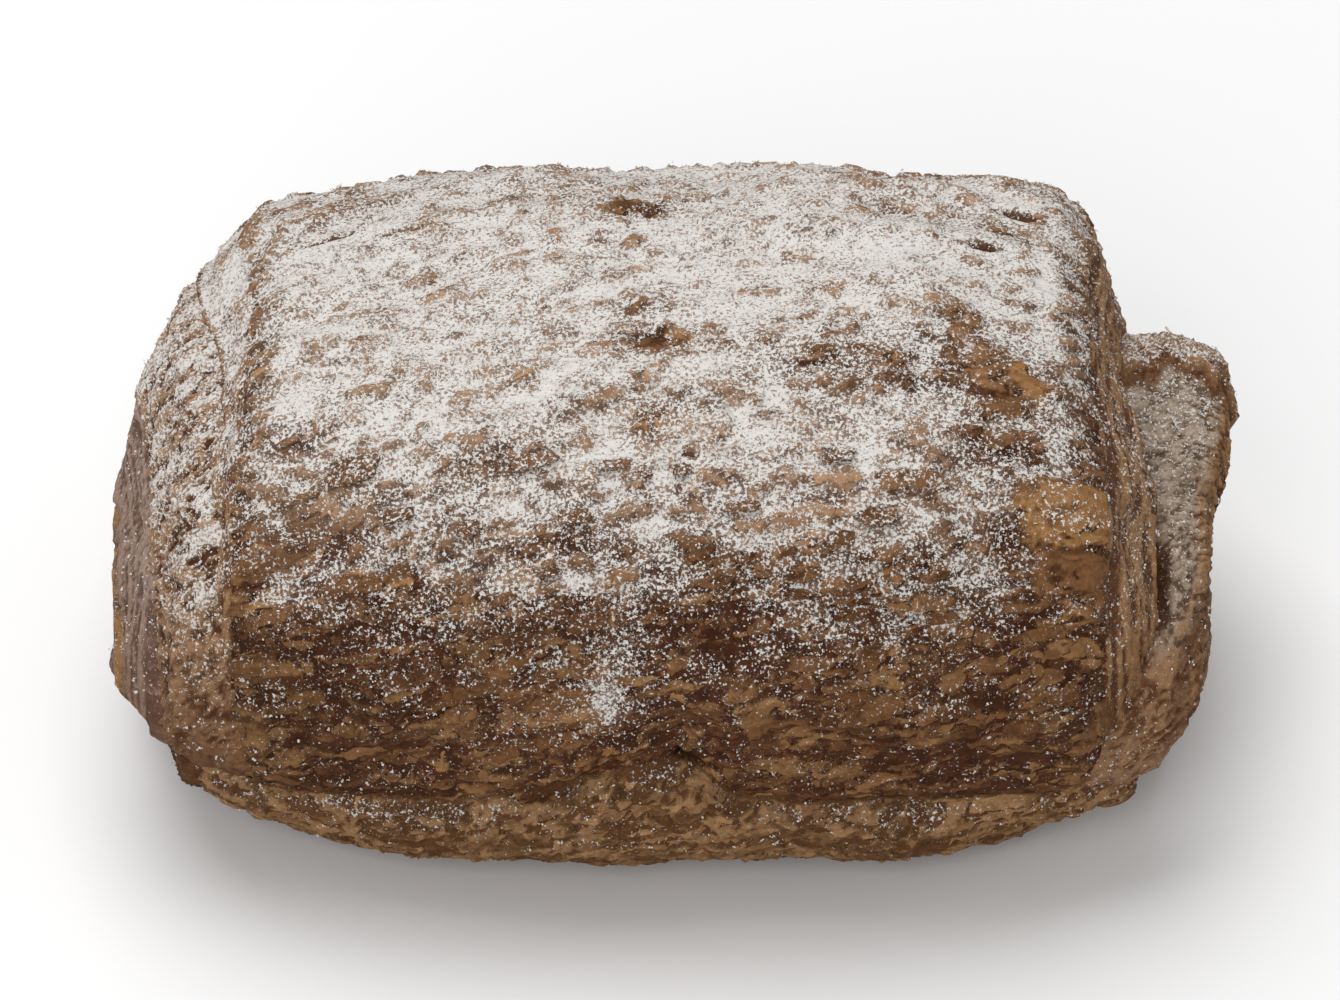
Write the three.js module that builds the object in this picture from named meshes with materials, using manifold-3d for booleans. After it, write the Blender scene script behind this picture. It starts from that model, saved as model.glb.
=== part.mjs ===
// A cocoa pastry: one sheet of laminated dough rolled up about the X axis, proved and baked.
// The roll is built as nested turns of the sheet, each a closed barrel whose cut edges stand out
// of the turn around it, and the turns are joined into one solid.
// Millimetres. +X runs along the roll, -Y is the front, +Z is up. The origin is on the base,
// in the middle of the part's box.

import * as THREE from 'three';
import { mergeVertices } from 'three/addons/utils/BufferGeometryUtils.js';
import Module from 'manifold-3d';

// The outer turn: its half length, and its reach from the axis line to each side at mid length.
const ROLL = {
  halfLength: 44.0,
  frontReach: 38.4,
  backReach: 36.8,
  height: 52.4,
  axisHeight: 24.0,
  bellyDepth: 27.2,
  upperSquareness: 2.35,
  lowerSquareness: 2.6,
};

// How much each side draws in from mid length to the ends of the roll. The front and the top draw
// in less to the right, and the top's skew fades towards the ends.
const DRAWN_IN = {
  front: 5.6,
  frontSkew: 1.0,
  back: 4.1,
  top: 4.2,
  topSkew: 2.8,
  skewFade: 0.7,
  belly: 4.5,
};

// The sheet's free end: a crease low on the front, with a fuller heel of dough below it. The crease
// climbs from both sides to the place where it is pinched, and the heel holds back from that climb.
const CREASE = {
  angle: 192.0,
  angleAtEnds: 202.1,
  climb: 7.0,
  climbLeft: 24.0,
  climbRight: 6.0,
  climbReach: 30.0,
  heelHold: 0.7,
  notchDepth: 1.4,
  notchWidth: 2.6,
  heelBulge: 2.1,
  heelAngle: 12.6,
  heelWidth: 11.5,
  heelFade: 0.8,
  pinchDepth: 1.6,
  pinchX: 2.4,
  pinchWidth: 2.6,
  pinchRise: 4,
};

// The point that the sheet winds around.
const EYE = { y: -5.0, z: 15.0 };

// One entry for each turn, from the outside in. share: the turn's outline as a part of the outer
// outline. edge: X of the cut edge. topIn, shoulderIn and lowIn: how far the edge draws in at the
// top back, at the shoulder and at the low front. foot: how far it is let out just below the crease.
// bevel and bevelTop: how far the cut edge leans out, in general and at the top back. cut: the part
// of the outline that the cut edge crosses. groove: how far the end face sinks inside the cut edge.
// flare: how far the sleeve opens at its edge.
const TURNS = [
  {
    left: {
      share: 1.0, edge: -39.9, topIn: -2.8, shoulderIn: 2.6, lowIn: -0.9, foot: 3.8,
      bevel: 2.0, bevelTop: 4.6, cut: 0.1, groove: 0.6, flare: 0,
    },
    right: {
      share: 1.0, edge: 42.8, topIn: -2.0, shoulderIn: 2.0, lowIn: -0.6, foot: 4.0,
      bevel: 6.0, bevelTop: 3.2, cut: 0.26, groove: 1.2, flare: 0,
    },
  },
  {
    left: {
      share: 0.845, edge: -45.2, topIn: -2.9, shoulderIn: 0, lowIn: -2.6, foot: -1.6,
      bevel: 3.4, bevelTop: 3.3, cut: 0.22, groove: 1.0, flare: 0,
    },
    right: {
      share: 0.64, edge: 54.0, topIn: -1.9, shoulderIn: -1.8, lowIn: 2.0, foot: -1.2,
      bevel: 0.8, bevelTop: 0.8, cut: 0.18, groove: 1.6, flare: 0.7,
    },
  },
  {
    left: {
      share: 0.64, edge: -48.5, topIn: -2.8, shoulderIn: 0, lowIn: -1.0, foot: 0,
      bevel: 4.3, bevelTop: 2.6, cut: 0.4, groove: 0.8, flare: 0,
    },
    right: {
      share: 0.45, edge: 53.4, topIn: -1.6, shoulderIn: 0, lowIn: 1.0, foot: -1.0,
      bevel: 0.6, bevelTop: 0.6, cut: 0.3, groove: 1.4, flare: 0,
    },
  },
  {
    left: {
      share: 0.36, edge: -53.2, topIn: -0.4, shoulderIn: 0, lowIn: 1.0, foot: 0,
      bevel: 0.5, bevelTop: 0.5, cut: 0.4, groove: 0.8, flare: 0,
    },
    right: {
      share: 0.25, edge: 52.4, topIn: -0.8, shoulderIn: 0, lowIn: 1.0, foot: -1.0,
      bevel: 0.5, bevelTop: 0.5, cut: 0.4, groove: 1.0, flare: 0,
    },
  },
];

// Where the edges draw in, as angles round the roll: 0 is the back, 90 the top, 180 the front.
// The foot spans this much winding.
const TOP_BACK = { angle: 55, width: 50 };
const SHOULDER = { angle: 84, width: 36 };
const LOW_FRONT = { angle: 215, width: 45 };
const FOOT_SPAN = 45;

// The stretch of winding, up to the crease, over which an inner turn climbs out to meet the turn
// around it, and over which its cut edge draws back to that turn's edge.
const CLIMB = { fromLeft: 285, fromRight: 318, edgeFromLeft: 346, edgeFromRight: 338, to: 360 };
const CLIMB_SHARE = 0.985;
const THIN_BEVEL = 0.25;

// Past the wrap the inner turns swell at the low front, over this stretch of length. The second turn
// stands out of the right end as a sleeve, with a lip at its top and a hollow below the lip.
const SWELL = { start: 40, full: 46, angle: 222, width: 30, left: 3.2, right: 1.7 };
const SLEEVE = { start: 45, full: 50 };
const LIP = { angle: 66, width: 20, height: 0.7 };
const HOLLOW = { angle: 113, width: 25, depth: 2.2 };

// Rounding of the skin towards its cut edges, and the drawing in of what stands past the wrap.
const RIM = { run: 4.0, drop: 1.2 };
const DRAW_PER_MM = 0.003;

// Where along the skin a flare starts, and how far the end face steps down into its groove.
const FLARE_FROM = 0.75;
const GROOVE_STEP = 0.1;

// The flat that the roll rests on: what would come lower than this has settled onto the base.
const BASE_SETTLE = 0.8;

// Relief of the crust: broad lumps of proving, and flakes lying along the roll.
const LUMPS = { seed: 11, aroundCells: 9, alongCells: 5, height: 0.5 };
const FLAKES = { seed: 29, aroundCells: 40, alongCells: 9, height: 0.8 };
const ROUGH_ENDS = { seed: 47, aroundCells: 26, alongCells: 8, height: 0.45 };

// Facets: columns round each turn, rows along its skin and rows down each cut edge. The columns
// lie closer together at the crease and leave a small gap there for the sheet's end.
const FACETS = [
  { columns: 84, skinRows: 34, cutRows: 2 },
  { columns: 60, skinRows: 8, cutRows: 2 },
  { columns: 44, skinRows: 5, cutRows: 2 },
  { columns: 28, skinRows: 3, cutRows: 1 },
];
const CREASE_DENSITY = 0.05;
const CREASE_GAP = 0.4;

const CRUST = { color: 0x6e4c32, roughness: 0.82, metalness: 0.0 };

const RADIANS = Math.PI / 180;

// The steps of the seeded draw.
const DRAW = { factor: 1664525, step: 1013904223, range: 2 ** 32 };

// A soft step from 0 at a to 1 at b.
function smoothStep(a, b, value) {
  return THREE.MathUtils.smoothstep(value, a, b);
}

// A bell of height 1 at the angle centre, in degrees round the circle.
function bell(angle, centre, width) {
  const away = THREE.MathUtils.euclideanModulo(angle - centre + 180, 360) - 180;
  return Math.exp(-((away / width) ** 2));
}

// A lattice of seeded random heights, closed round the roll, read with soft steps between points.
function makeUneven({ seed, aroundCells, alongCells, height }) {
  const rows = alongCells + 1;
  const heights = [];
  let state = seed;
  for (let i = 0; i < aroundCells * rows; i += 1) {
    state = (Math.imul(DRAW.factor, state) + DRAW.step) >>> 0;
    heights.push((state / DRAW.range) * 2 - 1);
  }
  const at = (column, row) => heights[(column % aroundCells) * rows + row];
  return (winding, along) => {
    const u = (THREE.MathUtils.euclideanModulo(winding, 360) / 360) * aroundCells;
    const v = THREE.MathUtils.clamp(along, 0, 1) * alongCells;
    const column = Math.floor(u);
    const row = Math.min(Math.floor(v), alongCells - 1);
    const across = smoothStep(0, 1, u - column);
    const up = smoothStep(0, 1, v - row);
    const low = THREE.MathUtils.lerp(at(column, row), at(column + 1, row), across);
    const high = THREE.MathUtils.lerp(at(column, row + 1), at(column + 1, row + 1), across);
    return height * THREE.MathUtils.lerp(low, high, up);
  };
}

const lumps = makeUneven(LUMPS);
const flakes = makeUneven(FLAKES);
const roughEnds = makeUneven(ROUGH_ENDS);

// How far x lies from mid length, 0 to 1 over the wrap.
function endness(x) {
  return Math.min(Math.abs(x) / ROLL.halfLength, 1);
}

// How far the crease has climbed towards the pinch at length x, in degrees.
function climbAt(x) {
  const fromLeft = smoothStep(-CREASE.climbLeft, 0, x - CREASE.pinchX);
  const fromRight = 1 - smoothStep(0, CREASE.climbRight, x - CREASE.pinchX);
  return CREASE.climb * fromLeft * fromRight;
}

// The angle round the roll at winding angle w and length x. The crease runs lower towards the ends
// and higher towards the pinch, and its climb fades with the distance from it.
function angleAt(w, x) {
  const level = CREASE.angle + (CREASE.angleAtEnds - CREASE.angle) * endness(x) ** 2;
  return w + level - climbAt(x) * bell(w, 0, CREASE.climbReach);
}

// Height above the base: exactly 0 where the dough has settled onto it.
function restOnBase(z) {
  return z < BASE_SETTLE ? 0 : z;
}

// The outer outline at winding angle w (degrees from the crease, by the base, back and top) and
// length x: a squared ellipse with its own reach in each quarter, the heel, the crease and the
// relief of the crust.
function outline(w, x) {
  const end = endness(x);
  const skew = THREE.MathUtils.clamp(x / ROLL.halfLength, -1, 1);
  const angle = angleAt(w, x) * RADIANS;
  const cos = Math.cos(angle);
  const sin = Math.sin(angle);
  const front = ROLL.frontReach - (DRAWN_IN.front - DRAWN_IN.frontSkew * skew) * end ** 2;
  const back = ROLL.backReach - DRAWN_IN.back * end ** 3;
  const topSkew = DRAWN_IN.topSkew * skew * (1 - DRAWN_IN.skewFade * end ** 2);
  const top = ROLL.height - ROLL.axisHeight - DRAWN_IN.top * end ** 4 + topSkew;
  const belly = ROLL.bellyDepth - DRAWN_IN.belly * end ** 3;
  const across = cos < 0 ? front : back;
  const upright = sin > 0 ? top : belly;
  const power = sin > 0 ? ROLL.upperSquareness : ROLL.lowerSquareness;
  let radius = (Math.abs(cos / across) ** power + Math.abs(sin / upright) ** power) ** (-1 / power);
  const heel = CREASE.heelBulge * (1 - CREASE.heelFade * end ** 2);
  radius += heel * bell(w, CREASE.heelAngle + CREASE.heelHold * climbAt(x), CREASE.heelWidth);
  radius -= CREASE.notchDepth * bell(w, 0, CREASE.notchWidth);
  const pinch = Math.exp(-(((x - CREASE.pinchX) / CREASE.pinchWidth) ** 2));
  radius -= CREASE.pinchDepth * pinch * bell(w, -CREASE.pinchRise, CREASE.pinchRise);
  const along = (x / ROLL.halfLength + 1) / 2;
  radius += lumps(w, along) + flakes(w, along);
  return { y: radius * cos, z: restOnBase(ROLL.axisHeight + radius * sin) };
}

// How far a cut edge has climbed to the turn around it, 0 to 1, at winding angle w.
function climbed(side, w) {
  const from = side === 'left' ? CLIMB.edgeFromLeft : CLIMB.edgeFromRight;
  return smoothStep(from, CLIMB.to, w);
}

// A size of a turn's cut edge at winding angle w. An inner turn runs on into the turn around it,
// so where it climbs it takes on that turn's size.
function cutSize(k, side, key, w) {
  const own = TURNS[k][side][key];
  if (k === 0) return own;
  return THREE.MathUtils.lerp(own, TURNS[k - 1][side][key], climbed(side, w));
}

// X of a turn's cut edge at winding angle w: it climbs out to the edge of the turn around it,
// which is the same edge of the same sheet.
function edgeX(k, side, w) {
  const edge = TURNS[k][side];
  const outward = side === 'left' ? -1 : 1;
  const angle = w + CREASE.angleAtEnds;
  let inset = edge.topIn * bell(angle, TOP_BACK.angle, TOP_BACK.width);
  inset += edge.shoulderIn * bell(angle, SHOULDER.angle, SHOULDER.width);
  inset += edge.lowIn * bell(angle, LOW_FRONT.angle, LOW_FRONT.width);
  inset -= edge.foot * (1 - smoothStep(0, FOOT_SPAN, w));
  const own = edge.edge - outward * inset;
  if (k === 0) return own;
  return THREE.MathUtils.lerp(own, edgeX(k - 1, side, 0), climbed(side, w));
}

// How far a turn's cut edge leans out at winding angle w; it thins at both ends of the turn.
function bevelX(k, side, w) {
  const topBack = bell(w + CREASE.angleAtEnds, TOP_BACK.angle, TOP_BACK.width);
  const low = cutSize(k, side, 'bevel', w);
  const high = cutSize(k, side, 'bevelTop', w);
  const body = smoothStep(0, FOOT_SPAN, w) * (1 - climbed(side, w));
  return THREE.MathUtils.lerp(low, high, topBack) * THREE.MathUtils.lerp(THIN_BEVEL, 1, body);
}

// What an inner turn gains past the wrap, in mm: the swell, and on the second turn the sleeve's lip
// less its hollow.
function fullness(k, x, w) {
  const angle = w + CREASE.angleAtEnds;
  const past = smoothStep(SWELL.start, SWELL.full, Math.abs(x));
  const swell = (x < 0 ? SWELL.left : SWELL.right) * bell(angle, SWELL.angle, SWELL.width) * past;
  if (k > 1) return swell;
  const lip = LIP.height * bell(angle, LIP.angle, LIP.width);
  const hollow = HOLLOW.depth * bell(angle, HOLLOW.angle, HOLLOW.width);
  return swell + (lip - hollow) * smoothStep(SLEEVE.start, SLEEVE.full, x);
}

// A turn's part of the outer outline at length x and winding angle w.
function shareAt(k, x, w) {
  const { left, right } = TURNS[k];
  const along = THREE.MathUtils.clamp((x / ROLL.halfLength + 1) / 2, 0, 1);
  const plain = THREE.MathUtils.lerp(left.share, right.share, along);
  if (k === 0) return plain;
  const own = plain + fullness(k, x, w) / ROLL.axisHeight;
  const outer = shareAt(k - 1, x, 0) * CLIMB_SHARE;
  const from = THREE.MathUtils.lerp(CLIMB.fromLeft, CLIMB.fromRight, along);
  return THREE.MathUtils.lerp(own, outer, smoothStep(from, CLIMB.to, w));
}

// The point at length x and winding angle w on the outline shrunk to a share about the eye.
function place(x, w, share) {
  const { y, z } = outline(w, x);
  const past = Math.max(Math.abs(x) - ROLL.halfLength, 0);
  const part = share * (1 - DRAW_PER_MM * past);
  return new THREE.Vector3(x, EYE.y + part * (y - EYE.y), EYE.z + part * (z - EYE.z));
}

// The skin's radius lost to the rounded rim, as a share, at a distance from the cut edge.
function rimLoss(distance) {
  const inRim = Math.max(1 - distance / RIM.run, 0);
  return (RIM.drop * inRim ** 2) / ROLL.axisHeight;
}

// One column of a turn, from the middle of its left end face to the middle of its right one.
function column(k, w) {
  const { skinRows, cutRows } = FACETS[k];
  const leftX = edgeX(k, 'left', w);
  const rightX = edgeX(k, 'right', w);
  const points = [];
  const cutEdge = (side, edge, outward) => {
    const cut = cutSize(k, side, 'cut', w);
    const groove = cutSize(k, side, 'groove', w);
    const flare = cutSize(k, side, 'flare', w);
    const lean = bevelX(k, side, w);
    const face = [];
    for (let i = 1; i <= cutRows; i += 1) {
      const down = i / cutRows;
      const inward = (k + down + 1 - w / 360) / (TURNS.length + 1);
      const x = edge + outward * (lean * down + roughEnds(w, inward));
      const share = shareAt(k, x, w) * (1 - cut * down) - rimLoss(0) + flare / ROLL.axisHeight;
      face.push(place(x, w, share));
    }
    const sunkX = edge + outward * (lean - groove);
    face.push(place(sunkX, w, shareAt(k, sunkX, w) * (1 - cut) - GROOVE_STEP));
    return face;
  };
  points.push(...cutEdge('left', leftX, -1).reverse());
  for (let i = 0; i <= skinRows; i += 1) {
    const t = i / skinRows;
    const x = THREE.MathUtils.lerp(leftX, rightX, t);
    const flare = cutSize(k, 'right', 'flare', w) * smoothStep(FLARE_FROM, 1, t) / ROLL.axisHeight;
    const share = shareAt(k, x, w) - rimLoss(x - leftX) - rimLoss(rightX - x) + flare;
    points.push(place(x, w, share));
  }
  points.push(...cutEdge('right', rightX, 1));
  return points;
}

// A closed barrel for one turn: its columns side by side, with a fan at the middle of each end.
function turnGeometry(k) {
  const { columns } = FACETS[k];
  const rows = [];
  for (let j = 0; j < columns; j += 1) {
    const t = j / (columns - 1);
    const even = t - CREASE_DENSITY * Math.sin(2 * Math.PI * t);
    rows.push(column(k, CREASE_GAP + (360 - 2 * CREASE_GAP) * even));
  }
  const height = rows[0].length;
  const middle = (i) => {
    const sum = rows.reduce((total, row) => total.add(row[i]), new THREE.Vector3());
    return sum.divideScalar(columns);
  };
  const positions = rows.flatMap((row) => row.flatMap((point) => point.toArray()));
  positions.push(...middle(0).toArray(), ...middle(height - 1).toArray());
  const leftPole = columns * height;
  const rightPole = leftPole + 1;
  const index = [];
  for (let j = 0; j < columns; j += 1) {
    const here = j * height;
    const next = ((j + 1) % columns) * height;
    index.push(leftPole, next, here);
    for (let i = 0; i + 1 < height; i += 1) {
      index.push(here + i, next + i, here + i + 1);
      index.push(next + i, next + i + 1, here + i + 1);
    }
    index.push(here + height - 1, next + height - 1, rightPole);
  }
  const geometry = new THREE.BufferGeometry();
  geometry.setAttribute('position', new THREE.Float32BufferAttribute(positions, 3));
  geometry.setIndex(index);
  return mergeVertices(geometry);
}

const wasm = await Module();
wasm.setup();

function toSolid(geometry) {
  const vertProperties = new Float32Array(geometry.attributes.position.array);
  const triVerts = new Uint32Array(geometry.index.array);
  return new wasm.Manifold(new wasm.Mesh({ numProp: 3, vertProperties, triVerts }));
}

function toGeometry(solid) {
  const mesh = solid.getMesh();
  const geometry = new THREE.BufferGeometry();
  geometry.setAttribute('position', new THREE.Float32BufferAttribute(mesh.vertProperties, mesh.numProp));
  geometry.setIndex(new THREE.Uint32BufferAttribute(mesh.triVerts, 1));
  return geometry;
}

// All the turns joined into one body, moved so that the origin is in the middle of its base.
function makePastry() {
  const turns = TURNS.map((turn, k) => toSolid(turnGeometry(k)));
  const joined = turns.reduce((sum, solid) => sum.add(solid));
  const geometry = toGeometry(joined);
  geometry.computeBoundingBox();
  const centre = geometry.boundingBox.getCenter(new THREE.Vector3());
  geometry.translate(-centre.x, -centre.y, -geometry.boundingBox.min.z);
  geometry.computeVertexNormals();
  const pastry = new THREE.Mesh(geometry, new THREE.MeshStandardMaterial(CRUST));
  pastry.name = 'pastry';
  return pastry;
}

const part = new THREE.Group();
part.name = 'rolled_pastry';
part.add(makePastry());

export default part;
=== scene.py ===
# %% [markdown]
# # A cocoa pastry roll under icing sugar
#
# The object is one sheet of cocoa dough. The baker folds it with butter into many thin leaves, rolls
# it up like a carpet, lets it rise and bakes it. The oven lifts the outer leaves into brown scales,
# the two ends show the leaves edge on, and icing sugar falls over the roll from above.
#
# The solid holds the form: four nested turns of the sheet, the crease where the sheet ends, and broad
# lumps. This script draws the same form again on much finer grids and adds what is too small for a
# solid: scales, leaves, pits, loose flakes and sugar. Sizes are in millimetres and become metres when
# a mesh is made.

# %% Load the solid and keep its box
from types import SimpleNamespace

import bpy
import numpy as np
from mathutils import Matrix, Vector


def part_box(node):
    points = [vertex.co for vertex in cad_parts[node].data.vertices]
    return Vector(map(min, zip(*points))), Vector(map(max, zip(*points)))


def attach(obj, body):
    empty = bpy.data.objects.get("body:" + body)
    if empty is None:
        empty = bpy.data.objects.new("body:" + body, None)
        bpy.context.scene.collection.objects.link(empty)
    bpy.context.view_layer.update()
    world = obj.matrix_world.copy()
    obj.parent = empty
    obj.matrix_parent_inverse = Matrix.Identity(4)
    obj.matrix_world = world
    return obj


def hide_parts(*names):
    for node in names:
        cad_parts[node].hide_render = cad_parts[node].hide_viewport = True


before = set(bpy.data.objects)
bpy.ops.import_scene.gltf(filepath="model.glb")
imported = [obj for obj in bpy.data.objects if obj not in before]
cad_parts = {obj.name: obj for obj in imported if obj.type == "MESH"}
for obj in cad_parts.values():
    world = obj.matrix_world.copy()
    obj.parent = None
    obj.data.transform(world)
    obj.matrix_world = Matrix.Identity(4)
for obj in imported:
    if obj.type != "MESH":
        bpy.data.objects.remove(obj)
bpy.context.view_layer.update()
MM = 0.001
solid_low, solid_high = (np.array(corner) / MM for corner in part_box("pastry"))
print("solid, mm:", np.round(solid_high - solid_low, 1))

# %% [markdown]
# ## The camera
#
# The photo looks down at the roll from 38 degrees above the table, from straight in front. A long lens
# keeps the near and the far side nearly the same size, so the camera stands 560 mm away and the lens is
# chosen to make one millimetre at the pastry ten pixels of a picture 1340 pixels wide. The same numbers
# give a small function that says where a point would appear, which later helps to put a tear or a flake
# where the photo has it.

# %% Camera and the place of a point in the picture
PICTURE = SimpleNamespace(width=1340, height=1000, pixels_per_mm=10.0)
ELEVATION = np.radians(38.0)
DISTANCE = 560.0
LOOK = np.array([-0.4, 0.0, 24.5])
SENSOR = 36.0

towards_eye = np.array([0.0, -np.cos(ELEVATION), np.sin(ELEVATION)])
picture_up = np.array([0.0, np.sin(ELEVATION), np.cos(ELEVATION)])

camera_data = bpy.data.cameras.new("long_lens")
camera_data.sensor_width = SENSOR
camera_data.lens = SENSOR * PICTURE.pixels_per_mm * DISTANCE / PICTURE.width
camera = bpy.data.objects.new("long_lens", camera_data)
camera.location = (LOOK + DISTANCE * towards_eye) * MM
camera.rotation_euler = (np.pi / 2 - ELEVATION, 0.0, 0.0)
bpy.context.scene.collection.objects.link(camera)
bpy.context.scene.camera = camera


def in_picture(points):
    """Pixels across and down of points in mm: each offset from the look point, scaled by its depth."""
    offset = points - LOOK
    depth = DISTANCE - offset @ towards_eye
    scale = PICTURE.pixels_per_mm * DISTANCE / depth
    across = PICTURE.width / 2 + scale * offset[..., 0]
    down = PICTURE.height / 2 - scale * (offset @ picture_up)
    return np.stack([across, down], axis=-1)


print("lens, mm:", round(camera_data.lens, 1))

# %% [markdown]
# ## Light
#
# The photo has the flat, bright light of a studio table: one broad soft light overhead and a little
# behind, so the top is pale and the lower front falls off, and a weaker fill from the front. A white
# surround lights the rest. The plain colour transform keeps colours as they are painted.

# %% Soft overhead light, front fill and surround
TABLE_MIDDLE = (0.0, 0.0, 0.02)
WHITE = (1.0, 1.0, 1.0, 1.0)
SURROUND_STRENGTH = 0.32


def soft_light(name, place, aim, size, watts):
    """A square area light of a size in metres, at a place and turned towards a point, both in metres."""
    data = bpy.data.lights.new(name, "AREA")
    data.shape = "SQUARE"
    data.size = size
    data.energy = watts
    light = bpy.data.objects.new(name, data)
    light.location = place
    back = np.array(place) - np.array(aim)
    flat = np.hypot(back[0], back[1])
    light.rotation_euler = (np.arctan2(flat, back[2]), 0.0, np.arctan2(back[0], -back[1]))
    bpy.context.scene.collection.objects.link(light)


soft_light("overhead", place=(-0.12, 0.2, 0.85), aim=TABLE_MIDDLE, size=0.7, watts=5.2)
soft_light("front_fill", place=(-0.2, -0.8, 0.55), aim=TABLE_MIDDLE, size=0.6, watts=3.8)

surround = bpy.data.worlds.new("surround")
surround.use_nodes = True
background = surround.node_tree.nodes["Background"]
background.inputs["Color"].default_value = WHITE
background.inputs["Strength"].default_value = SURROUND_STRENGTH
bpy.context.scene.world = surround
bpy.context.scene.view_settings.view_transform = "Standard"
print("lights:", len(bpy.data.lights))

# %% [markdown]
# ## Floor
#
# The ground of the photo is white and runs out of the picture. A square of one face is enough for it. It
# belongs to the picture and not to the part.

# %% White floor
FLOOR_WHITE = (0.97, 0.97, 0.97, 1.0)
FLOOR_ROUGHNESS = 0.9
FLOOR_CORNERS = 4.0 * np.array([(-1, -1, 0), (1, -1, 0), (1, 1, 0), (-1, 1, 0)])

floor_mesh = bpy.data.meshes.new("floor")
floor_mesh.from_pydata(FLOOR_CORNERS, [], [(0, 1, 2, 3)])
floor = bpy.data.objects.new("floor", floor_mesh)
bpy.context.scene.collection.objects.link(floor)

floor_finish = bpy.data.materials.new("white_floor")
floor_finish.use_nodes = True
floor_paint = floor_finish.node_tree.nodes["Principled BSDF"]
floor_paint.inputs["Base Color"].default_value = FLOOR_WHITE
floor_paint.inputs["Roughness"].default_value = FLOOR_ROUGHNESS
floor_mesh.materials.append(floor_finish)
print("side of the floor, m:", np.ptp(FLOOR_CORNERS[:, 0]))

# %% [markdown]
# ## Small tools for shapes
#
# Baked dough has no sharp law, so every shape here is put together from a few soft ones: a step that
# rises smoothly, a window that rises and falls again, a bell, and a lattice of random heights that is
# read with soft steps between its points. Blender's own noise could give the last one too, but the
# lattice is the one that the solid is made with, from the same seeds, so both get the same lumps.

# %% Soft steps, windows, bells and lattices of seeded heights
def soft_step(low, high, value):
    """0 below low, 1 above high, and a smooth S between."""
    t = np.clip((value - low) / (high - low), 0.0, 1.0)
    return t * t * (3.0 - 2.0 * t)


def window(rise, full, fade, gone, value):
    """0 below rise, 1 from full to fade, 0 above gone, with a smooth S on each side."""
    return soft_step(rise, full, value) * (1.0 - soft_step(fade, gone, value))


def between(a, b, t):
    """The value a part t of the way from a to b."""
    return a + (b - a) * t


def hump(away, width):
    """A bell of height 1 by the distance from its middle."""
    return np.exp(-((away / width) ** 2))


def bell(angle, centre, width):
    """A hump round an angle in degrees, measured the short way round the circle."""
    return hump(np.mod(angle - centre + 180.0, 360.0) - 180.0, width)


DRAW = SimpleNamespace(factor=1664525, step=1013904223, range=2**32)


def uneven(seed, around, along, height=1.0):
    """A lattice of seeded heights, closed round the roll, read with soft steps between its points."""
    drawn = np.empty(around * (along + 1))
    state = seed
    for i in range(drawn.size):
        state = (DRAW.factor * state + DRAW.step) % DRAW.range
        drawn[i] = state / DRAW.range * 2.0 - 1.0
    heights = drawn.reshape(around, along + 1)

    def read(w, part):
        """The height at a winding and a part along, softly between the four points around it."""
        u = np.mod(w, 360.0) / 360.0 * around
        v = np.clip(part, 0.0, 1.0) * along
        column = np.minimum(np.floor(u).astype(int), around - 1)
        row = np.minimum(np.floor(v).astype(int), along - 1)
        across = soft_step(0.0, 1.0, u - column)
        up = soft_step(0.0, 1.0, v - row)
        after = (column + 1) % around
        low = between(heights[column, row], heights[after, row], across)
        high = between(heights[column, row + 1], heights[after, row + 1], across)
        return height * between(low, high, up)

    return read


lumps = uneven(11, 9, 5, 0.5)
broad_flakes = uneven(29, 40, 9, 0.8)
rough_ends = uneven(47, 26, 8, 0.45)
print("lump at the crease, mm:", round(float(lumps(0.0, 0.5)), 2))

# %% [markdown]
# ## The form of the roll
#
# Everything is drawn in two numbers: `w`, the winding angle in degrees, which starts at the crease and
# runs under the base, up the back, over the top and down the front to the crease again, and `x`, the
# length along the roll. The outline of the outer turn is a squared ellipse that reaches differently to
# the front, back, top and base and draws in towards the ends. A heel of dough swells below the crease,
# and the crease climbs a little to a pinch near its middle. All sizes are the solid's own, so the fine
# grid lies on the solid.

# %% The outline of the outer turn
ROLL = SimpleNamespace(half_length=44.0, front=38.4, back=36.8, height=52.4, axis=24.0, belly=27.2,
                       upper_squareness=2.35, lower_squareness=2.6, base_blend=1.5)
DRAWN_IN = SimpleNamespace(front=5.6, front_skew=1.0, back=4.1, top=4.2, top_skew=2.8, skew_fade=0.7,
                           belly=4.5)
CREASE = SimpleNamespace(angle=192.0, at_ends=202.1, climb=7.0, climb_left=24.0, climb_right=6.0,
                         climb_reach=30.0, notch=1.4, notch_width=2.6)
HEEL = SimpleNamespace(height=2.1, angle=12.6, width=11.5, fade=0.8, hold=0.7)
PINCH = SimpleNamespace(depth=1.6, x=2.4, width=2.6, rise=4.0)


def along_roll(x):
    """0 at the left end of the outer turn and 1 at the right."""
    return (x / ROLL.half_length + 1.0) / 2.0


def climb_at(x):
    """How far the crease has climbed towards the pinch, in degrees."""
    return CREASE.climb * window(-CREASE.climb_left, 0.0, 0.0, CREASE.climb_right, x - PINCH.x)


def level(w, x):
    """The winding without the crease's climb, so that it runs straight along the roll."""
    return w - climb_at(x) * bell(w, 0.0, CREASE.climb_reach)


def facing(w, x):
    """The angle round the roll: 0 faces back, 90 up, 180 to the front and 270 down."""
    end = np.minimum(np.abs(x) / ROLL.half_length, 1.0)
    return level(w, x) + between(CREASE.angle, CREASE.at_ends, end**2)


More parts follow.
